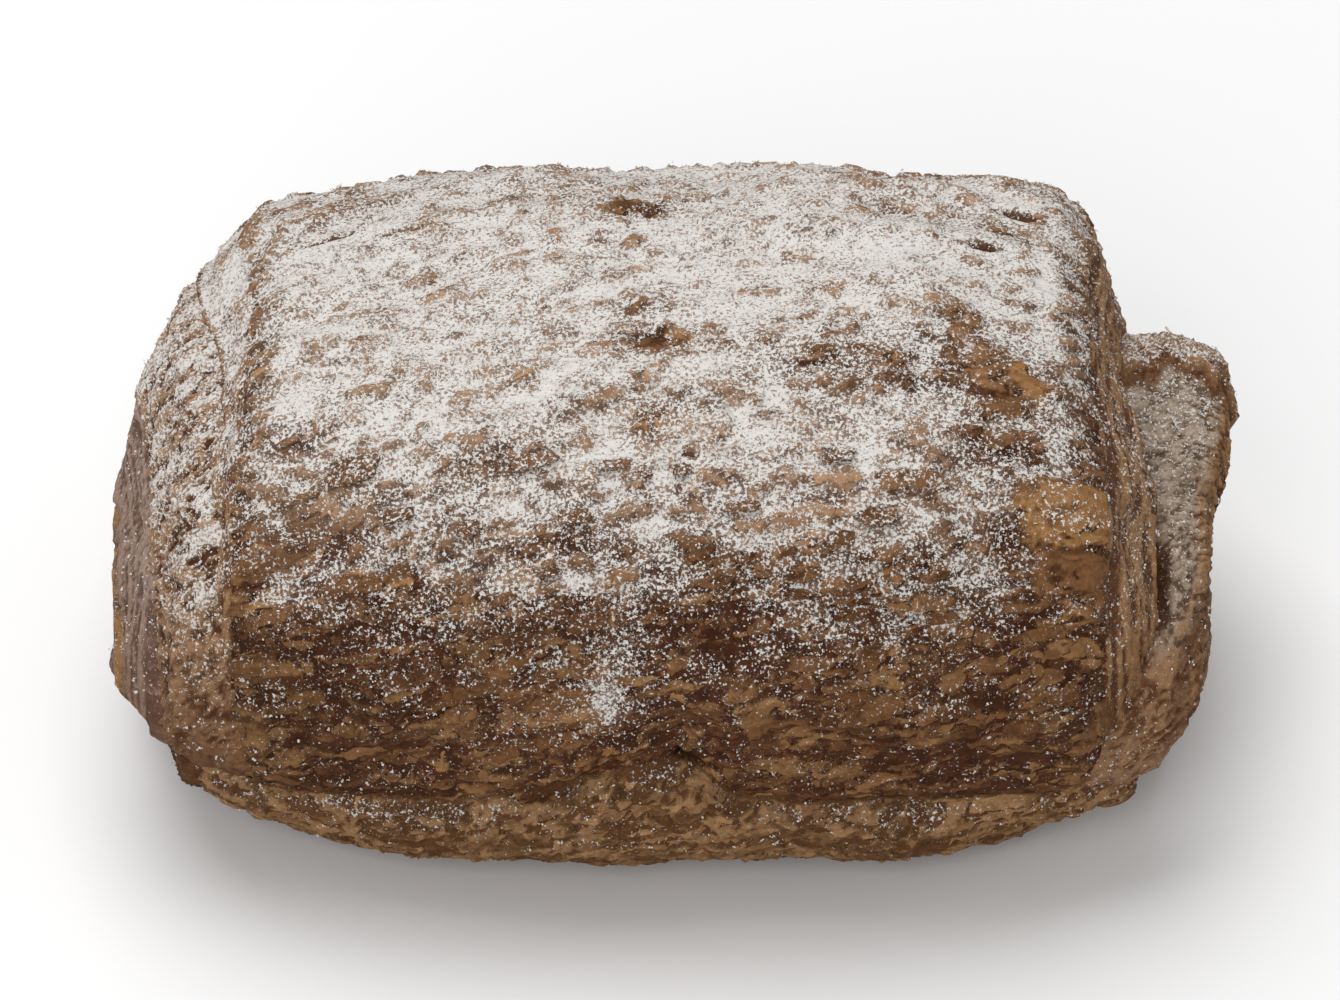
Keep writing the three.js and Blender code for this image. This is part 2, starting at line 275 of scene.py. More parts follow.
def outline(w, x):
    """Y and Z of the outer turn: a squared ellipse, plus the heel, less the crease, plus lumps."""
    end = np.minimum(np.abs(x) / ROLL.half_length, 1.0)
    skew = np.clip(x / ROLL.half_length, -1.0, 1.0)
    angle = np.radians(facing(w, x))
    cos, sin = np.cos(angle), np.sin(angle)
    front = ROLL.front - (DRAWN_IN.front - DRAWN_IN.front_skew * skew) * end**2
    back = ROLL.back - DRAWN_IN.back * end**3
    top = ROLL.height - ROLL.axis - DRAWN_IN.top * end**4
    top = top + DRAWN_IN.top_skew * skew * (1.0 - DRAWN_IN.skew_fade * end**2)
    belly = ROLL.belly - DRAWN_IN.belly * end**3
    across = np.where(cos < 0, front, back)
    upright = np.where(sin > 0, top, belly)
    power = np.where(sin > 0, ROLL.upper_squareness, ROLL.lower_squareness)
    radius = (np.abs(cos / across) ** power + np.abs(sin / upright) ** power) ** (-1.0 / power)
    heel = HEEL.height * (1.0 - HEEL.fade * end**2)
    radius = radius + heel * bell(w, HEEL.angle + HEEL.hold * climb_at(x), HEEL.width)
    radius = radius - CREASE.notch * bell(w, 0.0, CREASE.notch_width)
    radius = radius - PINCH.depth * hump(x - PINCH.x, PINCH.width) * bell(w, -PINCH.rise, PINCH.rise)
    radius = radius + lumps(w, along_roll(x)) + broad_flakes(w, along_roll(x))
    z = ROLL.axis + radius * sin
    near_base = ROLL.base_blend
    rested = np.where(z >= near_base, z, np.maximum(z + near_base, 0.0) ** 2 / (4.0 * near_base))
    return radius * cos, rested


top_w = 270.0
print("middle of the top, mm:", np.round(outline(top_w, 0.0), 1))

# %% [markdown]
# ## The sizes of the four turns
#
# A rolled sheet is one long spiral. Here it is four closed turns, one inside the other, and each inner
# turn is the outer outline shrunk about the eye of the spiral. Near the crease a turn climbs to the turn
# around it, as the sheet does. Each turn has two cut edges, and each edge says where it ends, how it is
# drawn in at the top, the shoulder and the low front, and how it leans. A row of the table is one call,
# whose arguments name the columns. On the right the second turn stands out as a sleeve with a lip on top
# and a hollow below the lip.

# %% Table of the cut edges
OUTWARD = (-1.0, 1.0)
EYE = SimpleNamespace(y=-5.0, z=15.0)


def cut_edge(share, x, top_in, shoulder_in, low_in, foot, bevel, bevel_top, cut, groove, flare=0.0):
    """One cut edge of a turn: its share of the outer outline, where it ends and how it is cut."""
    return SimpleNamespace(share=share, x=x, top_in=top_in, shoulder_in=shoulder_in, low_in=low_in,
                           foot=foot, bevel=bevel, bevel_top=bevel_top, cut=cut, groove=groove,
                           flare=flare)


TURNS = [
    (cut_edge(1.0, -39.9, -2.8, 2.6, -0.9, 3.8, 2.0, 4.6, 0.1, 0.6),
     cut_edge(1.0, 42.8, -2.0, 2.0, -0.6, 4.0, 6.0, 3.2, 0.26, 1.2)),
    (cut_edge(0.845, -45.2, -2.9, 0.0, -2.6, -1.6, 3.4, 3.3, 0.22, 1.0),
     cut_edge(0.64, 54.0, -1.9, -1.8, 2.0, -1.2, 0.8, 0.8, 0.18, 1.6, 0.7)),
    (cut_edge(0.64, -48.5, -2.8, 0.0, -1.0, 0.0, 4.3, 2.6, 0.4, 0.8),
     cut_edge(0.45, 53.4, -1.6, 0.0, 2.0, -1.0, 0.6, 0.6, 0.3, 1.4)),
    (cut_edge(0.36, -53.2, -0.4, 0.0, 1.0, 0.0, 0.5, 0.5, 0.4, 0.8),
     cut_edge(0.25, 52.4, -0.8, 0.0, 1.0, -1.0, 0.5, 0.5, 0.4, 1.0)),
]
print("cut edges:", sum(len(edges) for edges in TURNS))

# %% [markdown]
# ## Reading the sizes
#
# A few functions turn that table into a place for any winding and length. They blend a size of a turn
# with the size of the turn around it where the sheet climbs, and they round the rims. They are written
# for whole arrays, so one call places a whole grid.

# %% Where a turn ends and how large it is
TOP_BACK = SimpleNamespace(angle=55.0, width=50.0)
SHOULDER = SimpleNamespace(angle=84.0, width=36.0)
LOW_FRONT = SimpleNamespace(angle=215.0, width=45.0)
CLIMB = SimpleNamespace(from_left=285.0, from_right=318.0, edge_from=(346.0, 338.0), to=360.0,
                        share=0.985)
SWELL = SimpleNamespace(start=40.0, full=46.0, angle=222.0, width=30.0, height=(3.2, 1.7))
FOOT_SPAN = 45.0
THIN_BEVEL = 0.25
RIM = SimpleNamespace(run=4.0, drop=1.2)
DRAW_PER_MM = 0.003
FLARE_FROM = 0.75
SLEEVE = SimpleNamespace(start=45.0, full=50.0, lip=0.7, lip_angle=66.0, lip_width=20.0,
                         hollow=2.2, hollow_angle=113.0, hollow_width=25.0)
GROOVE_STEP = 0.1


def near(w, mark):
    """How near a winding is to a mark round the ends, 1 at the mark itself."""
    return bell(w + CREASE.at_ends, mark.angle, mark.width)


def cut_size(k, side, key, w):
    """A size of a cut edge; an inner turn takes on the next turn's size where it climbs to it."""
    own = getattr(TURNS[k][side], key)
    if k == 0:
        return own + 0.0 * w
    return between(own, getattr(TURNS[k - 1][side], key), soft_step(CLIMB.edge_from[side], CLIMB.to, w))


def edge_x(k, side, w):
    """X of a cut edge, drawn in at the top back, shoulder and low front, let out below the crease."""
    edge = TURNS[k][side]
    inset = edge.top_in * near(w, TOP_BACK) + edge.shoulder_in * near(w, SHOULDER)
    inset = inset + edge.low_in * near(w, LOW_FRONT)
    inset = inset - edge.foot * (1.0 - soft_step(0.0, FOOT_SPAN, w))
    own = edge.x - OUTWARD[side] * inset
    if k == 0:
        return own
    return between(own, edge_x(k - 1, side, 0.0), soft_step(CLIMB.edge_from[side], CLIMB.to, w))


def bevel_x(k, side, w):
    """How far a cut edge leans out; it thins at both ends of the turn."""
    lean = between(cut_size(k, side, "bevel", w), cut_size(k, side, "bevel_top", w), near(w, TOP_BACK))
    return lean * between(THIN_BEVEL, 1.0, window(0.0, FOOT_SPAN, CLIMB.edge_from[side], CLIMB.to, w))


def sleeve_relief(x, w):
    """What the lip adds to the second turn outside the wrap, less the hollow, as a share."""
    angle = w + CREASE.at_ends
    lip = SLEEVE.lip * bell(angle, SLEEVE.lip_angle, SLEEVE.lip_width)
    hollow = SLEEVE.hollow * bell(angle, SLEEVE.hollow_angle, SLEEVE.hollow_width)
    return (lip - hollow) * soft_step(SLEEVE.start, SLEEVE.full, x) / ROLL.axis


def share_at(k, x, w):
    """A turn's part of the outer outline, from its left share to its right, climbing at the crease."""
    left, right = TURNS[k]
    along = np.clip(along_roll(x), 0.0, 1.0)
    own = between(left.share, right.share, along)
    if k == 0:
        return own
    swell = np.where(x < 0, *SWELL.height) * soft_step(SWELL.start, SWELL.full, np.abs(x))
    own = own + swell * near(w, SWELL) / ROLL.axis
    if k == 1:
        own = own + sleeve_relief(x, w)
    around_it = share_at(k - 1, x, 0.0) * CLIMB.share
    start = between(CLIMB.from_left, CLIMB.from_right, along)
    return between(own, around_it, soft_step(start, CLIMB.to, w))


def rim_loss(distance):
    """The share of radius lost to the rounded rim at a distance from the cut edge."""
    return RIM.drop * np.maximum(1.0 - distance / RIM.run, 0.0) ** 2 / ROLL.axis


def place(w, x, share):
    """The point at (w, x) on the outline shrunk to a share about the eye."""
    y, z = outline(w, x)
    part = share * (1.0 - DRAW_PER_MM * np.maximum(np.abs(x) - ROLL.half_length, 0.0))
    return np.stack([x + 0.0 * y, EYE.y + part * (y - EYE.y), EYE.z + part * (z - EYE.z)], axis=-1)


right_ends = [round(float(edge_x(k, 1, top_w)), 1) for k in range(len(TURNS))]
print("right ends of the turns at the top, mm:", right_ends)

# %% [markdown]
# ## A turn as one grid
#
# A turn is a closed barrel. One column of its grid runs from the middle of the left end face, over the
# left cut edge, along the skin, over the right cut edge, to the middle of the right end face, and the
# columns stand side by side round the roll. The columns are packed where the camera can see them and
# at the crease, and are wider apart underneath. The end face is sunk a little behind the cut edge, and
# its rows close in on one middle, so that the next turn can stand out of it.

# %% Rows and columns of a turn
COLUMNS = (474, 360, 280, 160)
CREASE_GAP = 0.4
CREASE_CLOSE = 9.0
FINE_STEPS = 4001
UNDERSIDE = (25.0, 40.0, 105.0, 125.0)
SUNK = SimpleNamespace(rows=8, last=0.12, from_depth=1.2)


def winding(columns, under=0.4, crease=1.7):
    """Winding angles packed by a density: 1 on what shows, less underneath, more at the crease."""
    fine = np.linspace(CREASE_GAP, 360.0 - CREASE_GAP, FINE_STEPS)
    density = between(1.0, under, window(*UNDERSIDE, fine))
    density = density + (crease - 1.0) * bell(fine, 0.0, CREASE_CLOSE)
    total = np.concatenate([[0.0], np.cumsum(0.5 * (density[1:] + density[:-1]))])
    return np.interp(np.linspace(0.0, total[-1], columns), total, fine)


def end_rows(k, side, w, count):
    """X, share and depth of the rows of one end: down the cut edge, then over the sunk face."""
    outward = OUTWARD[side]
    edge, lean = edge_x(k, side, w), bevel_x(k, side, w)
    cut = cut_size(k, side, "cut", w)
    down = (np.arange(count) + 1.0)[None, :] / count
    inward = (k + down + 1.0 - w / 360.0) / (len(TURNS) + 1)
    x = edge + outward * (lean * down + rough_ends(w, inward))
    flare = cut_size(k, side, "flare", w) / ROLL.axis
    share = share_at(k, x, w) * (1.0 - cut * down) - rim_loss(0.0) + flare
    sunk_x = edge + outward * (lean - cut_size(k, side, "groove", w))
    sunk_share = share_at(k, sunk_x, w) * (1.0 - cut) - GROOVE_STEP
    inner = np.linspace(1.0, SUNK.last, SUNK.rows)[None, :]
    xs = np.concatenate([x, between(sunk_x.mean(), sunk_x, inner)], axis=1)
    shares = np.concatenate([share, sunk_share * inner], axis=1)
    downs = np.concatenate([down + 0.0 * w, 1.0 + 0.5 * (2.0 - inner) + 0.0 * w], axis=1)
    return xs, shares, downs


def turn_grid(k, w, skin_parts, cut_rows):
    """Points of a turn with, for each, its winding, length, side (-1, 0, 1) and depth down the cut edge."""
    w = w[:, None]
    left_x, right_x = edge_x(k, 0, w), edge_x(k, 1, w)
    x = between(left_x, right_x, skin_parts[None, :])
    flare = cut_size(k, 1, "flare", w) * soft_step(FLARE_FROM, 1.0, skin_parts[None, :]) / ROLL.axis
    share = share_at(k, x, w) - rim_loss(x - left_x) - rim_loss(right_x - x) + flare
    left, right = (end_rows(k, side, w, cut_rows[side]) for side in (0, 1))
    xs, shares, downs = (np.concatenate([a[:, ::-1], middle, b], axis=1)
                         for a, middle, b in zip(left, (x, share, 0.0 * x), right))
    sides = np.repeat((-1.0, 0.0, 1.0), (left[0].shape[1], x.shape[1], right[0].shape[1]))
    windings = w + 0.0 * xs
    return SimpleNamespace(points=place(windings, xs, shares), w=windings, x=xs, down=downs,
                           sunk=downs > SUNK.from_depth, side=sides[None, :] + 0.0 * xs)


steps = np.diff(winding(COLUMNS[0]))
print("degrees between columns:", round(steps.min(), 2), "to", round(steps.max(), 2))

# %% [markdown]
# ## The four grids
#
# With these tools each turn is one call. The outer turn has the finest grid, because most of what shows
# is its skin. The form is then moved along X and Y, so that the middle of its box is the middle of the
# solid's box.

# %% Grids of the four turns
SMALLEST = 1e-9


def grid_normals(points):
    """Outward unit normals of a closed barrel grid, from differences round the roll and along the rows."""
    around = np.roll(points, -1, axis=0) - np.roll(points, 1, axis=0)
    normals = np.cross(around, np.gradient(points, axis=1))
    return normals / np.maximum(np.linalg.norm(normals, axis=-1, keepdims=True), SMALLEST)


# Skin rows: even on the outer and the inmost turn, packed where the two between stand out of the wrap.
skin_rows = [
    np.linspace(0.0, 1.0, 150),
    np.concatenate([np.linspace(0.0, 0.06, 14), np.linspace(0.12, 0.8, 6), np.linspace(0.86, 1.0, 34)]),
    np.concatenate([np.linspace(0.0, 0.06, 12), np.linspace(0.2, 0.8, 4), np.linspace(0.96, 1.0, 6)]),
    np.linspace(0.0, 1.0, 8),
]
turns = [
    turn_grid(0, winding(COLUMNS[0]), skin_rows[0], cut_rows=(10, 34)),
    turn_grid(1, winding(COLUMNS[1], 0.6, 1.2), skin_rows[1], cut_rows=(26, 8)),
    turn_grid(2, winding(COLUMNS[2], 0.7, 1.2), skin_rows[2], cut_rows=(28, 14)),
    turn_grid(3, winding(COLUMNS[3], 0.8, 1.2), skin_rows[3], cut_rows=(14, 10)),
]
outer, second, third, fourth = turns

lowest = np.min([turn.points.min(axis=(0, 1)) for turn in turns], axis=0)
highest = np.max([turn.points.max(axis=(0, 1)) for turn in turns], axis=0)
move = (solid_low + solid_high) / 2.0 - (lowest + highest) / 2.0
move[2] = 0.0
for turn in turns:
    turn.points = turn.points + move
    turn.normals = grid_normals(turn.points)
print("drawn form, mm:", np.round(highest - lowest, 1), "moved by", np.round(move, 2))

# %% [markdown]
# ## Scales of the crust
#
# The outer leaf breaks in the oven into small raised plates, one and a half to five millimetres long and
# lying along the roll, amber where they stand up and dark brown in the gaps. Blender's cell textures
# could draw them, but they would only be paint. Here each plate is one cell of a jittered lattice: a long
# ellipse with its own middle, size, tilt, tone and lift. At every grid point the plates of the nine
# nearest cells are compared and the one whose edge is farthest away wins. What is kept is how far inside
# the edge the point lies, so it can raise the mesh now and draw the edge sharply later.

# %% Plates from a jittered lattice
ROUND_THE_ROLL = 215.0
SPAN = 94.0
JITTER, TILT = 0.8, 0.35


def plates(w, x, slant, seed, cell, chance, half_long, half_tall):
    """How far inside the nearest plate's edge each point lies, with that plate's tone and lift."""
    around, along = int(ROUND_THE_ROLL / cell[1]), int(SPAN / cell[0])
    draws = np.random.default_rng(seed).random((8, around, along))
    u = np.mod(w, 360.0) / 360.0 * around
    v = (x + SPAN / 2.0) / SPAN * along
    column, row = np.floor(u).astype(int), np.floor(v).astype(int)
    inside = np.full(w.shape, -1.0)
    tone, lift = np.zeros(w.shape), np.zeros(w.shape)
    for over in (-1, 0, 1):
        for on in (-1, 0, 1):
            draw = draws[:, (column + over) % around, np.clip(row + on, 0, along - 1)]
            tall = (u - column - over - 0.5 - JITTER * (draw[0] - 0.5)) * cell[1]
            long = (v - row - on - 0.5 - JITTER * (draw[1] - 0.5)) * cell[0]
            tall = tall + (slant + TILT * (draw[2] - 0.5)) * long
            a, b = between(*half_long, draw[3]), between(*half_tall, draw[4])
            edge = np.where(draw[5] < chance, 1.0 - np.hypot(long / a, tall / b), -1.0)
            wins = edge > inside
            inside = np.where(wins, edge, inside)
            tone = np.where(wins, draw[6], tone)
            lift = np.where(wins, draw[7], lift)
    return SimpleNamespace(inside=inside, tone=tone, lift=lift)


print("skin rolled out flat, mm:", SPAN, "by", ROUND_THE_ROLL)

# %% [markdown]
# ## Laying the plates on the skin
#
# Round blobs lie on the top and the upper front, flat strips low on the front, and a few larger sheets
# anywhere. The lattice they come from is bent by a wide lattice and a finer one, so the rows of plates
# wave as they do on the real crust, and it leans more towards the right end. In bald places there are
# fewer of them. The bent coordinates are kept too: they are the skin rolled out flat, and the finish will
# lay fine flakes on them.

# %% Blobs, strips and sheets of the outer turn
MM_PER_DEGREE = 0.62
WOBBLE = SimpleNamespace(grain=0.5, ragged=0.6)
SLANT = SimpleNamespace(middle=0.1, swing=0.18)
BEND = SimpleNamespace(wide_w=1.3, fine_w=0.8, wide_x=1.1, fine_x=0.6, shift=50.0)
LOW_SKIN = SimpleNamespace(above=(318.0, 340.0), below=(12.0, 40.0))
BALD = SimpleNamespace(step=(0.05, 0.5), x=-33.0, half_long=8.0, w=343.0, half_tall=11.0, most=0.85)
CROWD = SimpleNamespace(wave=0.3, shift=110.0, bald=0.45)
PUSH_UNDER = 1.3
EDGE_WOBBLE = 0.5
SHEET = SimpleNamespace(shrink=0.2, wobble=0.35)

grain = uneven(61, 420, 160)
ragged = uneven(83, 240, 90)
bend_wide = uneven(71, 46, 19)
bend_fine = uneven(73, 130, 54)
bald_lattice = uneven(149, 34, 8)

part_along = np.clip(along_roll(outer.x), 0.0, 1.0)
round_by = level(outer.w, outer.x)
wobble = WOBBLE.grain * grain(round_by, part_along) + WOBBLE.ragged * ragged(round_by, part_along)
slant = SLANT.middle + SLANT.swing * np.clip(outer.x / ROLL.half_length, -1.0, 1.0)
rise = SLANT.middle * outer.x + SLANT.swing / 2.0 * outer.x**2 / ROLL.half_length
low_front = soft_step(*LOW_SKIN.above, outer.w) + 1.0 - soft_step(*LOW_SKIN.below, outer.w)

sway_w = round_by + BEND.wide_w * bend_wide(round_by, part_along)
sway_w = sway_w + BEND.fine_w * bend_fine(round_by, part_along)
sway_x = outer.x + BEND.wide_x * bend_wide(round_by + BEND.shift, part_along)
sway_x = sway_x + BEND.fine_x * bend_fine(round_by + BEND.shift, part_along)
outer.unrolled = np.stack([sway_x, sway_w * MM_PER_DEGREE + rise, 0.0 * sway_x], axis=-1)

bald = soft_step(*BALD.step, bald_lattice(sway_w, part_along))
bald_spot = hump(outer.x - BALD.x, BALD.half_long) * hump(round_by - BALD.w, BALD.half_tall)
bald = np.maximum(bald, BALD.most * bald_spot)
crowded = CROWD.wave * bend_wide(round_by + CROWD.shift, part_along) - CROWD.bald * bald

blobs = plates(sway_w, sway_x, slant, seed=5, cell=(2.9, 1.8), chance=0.7,
               half_long=(0.7, 1.9), half_tall=(0.5, 1.1))
strips = plates(sway_w, sway_x, slant, seed=6, cell=(3.4, 1.25), chance=0.7,
                half_long=(0.8, 2.5), half_tall=(0.35, 0.75))
sheets = plates(sway_w, sway_x, slant, seed=7, cell=(11.0, 6.0), chance=0.07,
                half_long=(2.0, 3.6), half_tall=(0.8, 1.5))
blobs.inside = blobs.inside - PUSH_UNDER * low_front + EDGE_WOBBLE * wobble + crowded
strips.inside = strips.inside - PUSH_UNDER * (1.0 - low_front) + EDGE_WOBBLE * wobble + crowded
sheets.inside = sheets.inside - SHEET.shrink + SHEET.wobble * wobble
plate_in = np.maximum(np.maximum(blobs.inside, strips.inside), sheets.inside)
tone = np.where(strips.inside >= plate_in, strips.tone, blobs.tone)
tone = np.where(sheets.inside >= plate_in, sheets.tone, tone)
print("share of the crust under plates:", round(float(np.mean(plate_in > 0)), 2))

# %% [markdown]
# ## Tears and the pinch hole
#
# In a few places the leaf has torn open and a small cave shows under a lifted lip. Each tear is given
# where the photo has it, in pixels, with its half length, half height and depth in millimetres. The
# nearest point of the outer turn that faces the camera is its middle.

# %% Tears, placed by where they appear
FACES_CAMERA = 0.1
FAR_AWAY = 1e9
TEAR_WOBBLE = 0.5
TEAR_LIP = SimpleNamespace(height=0.35, above=1.6, width=0.6)
TEARS = [
    (636, 211, 2.6, 0.8, 0.9),
    (985, 243, 2.0, 0.8, 0.9),
    (1022, 214, 2.4, 0.8, 0.9),
    (992, 391, 2.2, 0.4, 0.7),
    (687, 452, 0.8, 0.4, 0.6),
    (688, 757, 1.1, 1.0, 2.4),
    (668, 733, 1.3, 0.4, 0.7),
    (645, 700, 1.5, 0.35, 0.5),
    (545, 792, 3.0, 0.6, 0.6),
    (402, 227, 2.8, 0.4, 0.7),
    (330, 238, 2.6, 0.25, 0.4),
]


def spot(across, down, turn=outer):
    """The winding and length of the point of a turn's skin that appears nearest to a pixel."""
    away = np.linalg.norm(in_picture(turn.points) - np.array([across, down]), axis=-1)
    seen = (turn.normals @ towards_eye > FACES_CAMERA) & (turn.side == 0)
    nearest = np.unravel_index(np.argmin(np.where(seen, away, FAR_AWAY)), away.shape)
    return turn.w[nearest], turn.x[nearest]


tear, tear_depth, tear_lip = np.zeros((3, *outer.w.shape))
for across, down, half_long, half_tall, depth in TEARS:
    tear_w, tear_x = spot(across, down)
    long = (outer.x - tear_x) / half_long
    tall = (outer.w - tear_w) * MM_PER_DEGREE / half_tall + TEAR_WOBBLE * wobble
    hole = np.exp(-((long**2 + tall**2) ** 2))
    tear = np.maximum(tear, hole)
    tear_depth = np.maximum(tear_depth, depth * hole)
    lip = np.exp(-(long**4)) * hump(tall + TEAR_LIP.above, TEAR_LIP.width)
    tear_lip = np.maximum(tear_lip, TEAR_LIP.height * depth * lip)
print("tears:", len(TEARS))

# %% [markdown]
# ## Torn sheets
#
# In some places a larger leaf still hugs the crust: caramel sheets at the right end, a strip at the left,
# a few scraps between. Each is given like a tear, by its place in the picture, half length, half height
# and tone. Its outline is a rounded box made ragged by the wobble of the plates, and it joins them. Just
# outside its edge the plates are cleared, so a band of dark gap colour rings it as a painted shadow under
# its edge.

# %% Sheets, placed by where they appear
BOXINESS = 5.0
SHEET_WOBBLE = 0.24
SHEET_EDGE = SimpleNamespace(clear=(-0.25, 0.0), steep=1.6)
TORN_SHEETS = [
    (1066, 512, 4.4, 3.4, 0.96),
    (1074, 572, 3.8, 2.4, 0.34),
    (1026, 600, 2.6, 1.2, 0.3),
    (1084, 613, 1.8, 0.9, 0.7),
    (1066, 647, 1.7, 1.2, 0.78),
    (1050, 698, 2.8, 0.8, 0.3),
    (262, 669, 4.0, 1.1, 0.6),
    (256, 745, 1.6, 2.4, 0.7),
    (905, 480, 3.4, 0.9, 0.5),
    (1002, 404, 2.6, 1.2, 0.3),
    (624, 575, 1.7, 0.8, 0.7),
    (845, 585, 2.6, 0.9, 0.5),
    (735, 690, 1.8, 1.1, 0.6),
    (470, 690, 3.0, 0.8, 0.5),
    (345, 208, 7.5, 1.6, 0.4),
]

torn_in = np.full(outer.w.shape, -1.0)
for across, down, half_long, half_tall, sheet_tone in TORN_SHEETS:
    sheet_w, sheet_x = spot(across, down)
    long = np.abs(sway_x - sheet_x) / half_long
    tall = np.abs((outer.w - sheet_w) * MM_PER_DEGREE + slant * (outer.x - sheet_x)) / half_tall
    inside = 1.0 - (long**BOXINESS + tall**BOXINESS) ** (1.0 / BOXINESS) + SHEET_WOBBLE * wobble
    tone = np.where((inside > 0.0) & (inside > torn_in), sheet_tone, tone)
    torn_in = np.maximum(torn_in, inside)
# Plates are cleared just outside each sheet, leaving a band of dark gap colour round it as a painted shadow
# under its edge.
plate_in = np.maximum(plate_in - soft_step(*SHEET_EDGE.clear, torn_in), SHEET_EDGE.steep * torn_in)
print("share of the crust under torn sheets:", round(float(np.mean(torn_in > 0)), 3))

# %% [markdown]
# ## Leaves and crumb
#
# Where the roll was cut, its leaves show edge on as long thin ridges that run round the roll. They come
# from a lattice that is stretched round the roll and narrow across the edge. At the left end the second
# turn shows the open crumb of the dough instead, with pits and walls in every direction, which two finer
# lattices give.

# %% Leaves of the cut edges and open crumb
LEAVES = SimpleNamespace(wander_turns=3.0, left_run=0.45, sunk_run=1.9, base=0.15, coarse=0.9, fine=0.55,
                         fine_when_sunk=0.15)
CRUMBS = SimpleNamespace(run=160.0, base=0.15, open=0.55, fine=0.8)
leaf_lattice = uneven(97, 44, 17)
core_lattice = uneven(103, 11, 46)
leaf_fine = uneven(101, 260, 30)
open_crumb = uneven(113, 130, 120)
fine_crumb = uneven(127, 400, 360)


def leaves(turn, swing, lattice=leaf_lattice):
    """From -1 in a groove between leaves to 1 on a leaf: narrow lattice cells that wander by a swing."""
    wander = swing * lumps(turn.w * LEAVES.wander_turns, 0.5 + 0.0 * turn.w)
    down_cut = turn.down * np.where(turn.side < 0, LEAVES.left_run, 1.0)
    inward = np.where(turn.sunk, LEAVES.sunk_run * (2.0 - turn.down), down_cut)
    inward = np.clip(inward + wander, 0.0, 1.0)
    fine = np.where(turn.sunk, LEAVES.fine_when_sunk, LEAVES.fine) * leaf_fine(turn.w, inward)
    return np.clip(LEAVES.base + LEAVES.coarse * lattice(turn.w, inward) + fine, -1.0, 1.0)


def crumb(turn):
    """From -1 in a pit to 1 on a wall: two lattices of crumb, read by the distance along the rows."""
    step = np.linalg.norm(np.diff(turn.points, axis=1), axis=-1)
    run = np.concatenate([0.0 * step[:, :1], np.cumsum(step, axis=1)], axis=1)
    run = run.mean(axis=0)[None, :] / CRUMBS.run
    walls = CRUMBS.open * open_crumb(turn.w, run) + CRUMBS.fine * fine_crumb(turn.w, run)
    return np.clip(CRUMBS.base + walls, -1.0, 1.0)


second_crumb = crumb(second)
print("share of pits in the crumb of the second turn:", round(float(np.mean(second_crumb < 0)), 2))

# %% [markdown]
# ## Relief of the outer turn
#
# The plates, the tears and a fine grain will be added along the normals of the form. A plate rises over a
# soft edge to a height of its own. The underside is pressed flat by the tray, so it gets little of this,
# and the dough by the crease is crumbly. On the cut edges the relief is the leaves, a few tenths of a
# millimetre high, with a groove just inside the skin on the right.

# %% Heights of the outer turn
PRESSED_FLAT = SimpleNamespace(span=(28.0, 45.0, 95.0, 120.0), loss=0.8)
SKIN = SimpleNamespace(sunk=0.25, wobble=0.1, crumbs=0.3)
BY_CREASE = SimpleNamespace(w=7.0, width=14.0, stretch=1.3, grain=0.8, shift=40.0)
CUT = SimpleNamespace(swing=0.12, height=0.28, sunk=0.05)
SKIN_GROOVE = SimpleNamespace(down=0.13, width=0.05, depth=1.2)


def raised(inside, lift, height, least, edge):
    """A plate's height: at least a part of it and the rest by its lift, rising over a soft edge."""
    return height * (least + (1.0 - least) * lift) * soft_step(*edge, inside)


on_cut = (outer.side != 0).astype(float)
# The groove just inside the skin on the right is cut into the relief and, through the edge grid, also takes
# the dark groove colour as a painted shadow line beside the rim.
beside_skin = hump(outer.down - SKIN_GROOVE.down, SKIN_GROOVE.width) * (outer.side > 0)
outer_leaf = leaves(outer, CUT.swing) - SKIN_GROOVE.depth * beside_skin

plate_height = np.maximum.reduce([
    raised(blobs.inside, blobs.lift, height=0.62, least=0.45, edge=(-0.1, 0.45)),
    raised(strips.inside, strips.lift, height=0.4, least=0.4, edge=(-0.05, 0.22)),
    raised(sheets.inside, sheets.lift, height=0.4, least=0.4, edge=(-0.03, 0.1)),
    raised(torn_in, 1.0, height=0.55, least=1.0, edge=(-0.04, 0.06)),
])
pressed = PRESSED_FLAT.loss * window(*PRESSED_FLAT.span, outer.w)
crumbs = fine_crumb(round_by * BY_CREASE.stretch, part_along)
crumbs = bell(outer.w, BY_CREASE.w, BY_CREASE.width) * (
    crumbs + BY_CREASE.grain * grain(round_by + BY_CREASE.shift, part_along))
skin_relief = plate_height * (1.0 - pressed) - SKIN.sunk + SKIN.wobble * wobble - tear_depth + tear_lip
skin_relief = skin_relief + SKIN.crumbs * crumbs
outer.relief = np.where(on_cut > 0, CUT.height * outer_leaf - CUT.sunk, skin_relief)
print("highest plate, mm:", round(float(plate_height.max()), 2))

# %% [markdown]
# ## Relief of the sleeve and of the left end
#
# The second turn shows in two places. At the left it is a broad ring of open crumb. At the right it is
# the sleeve: a lip folds over on top, the skin below the lip is carved in, a thin ridge crosses it lower
# down, and a dark slit opens beside the wrap. Angles on the sleeve are angles round the roll, with 90 up
# and 180 to the front. Inside the wrap the turn sinks away, so it cannot poke through the crust.

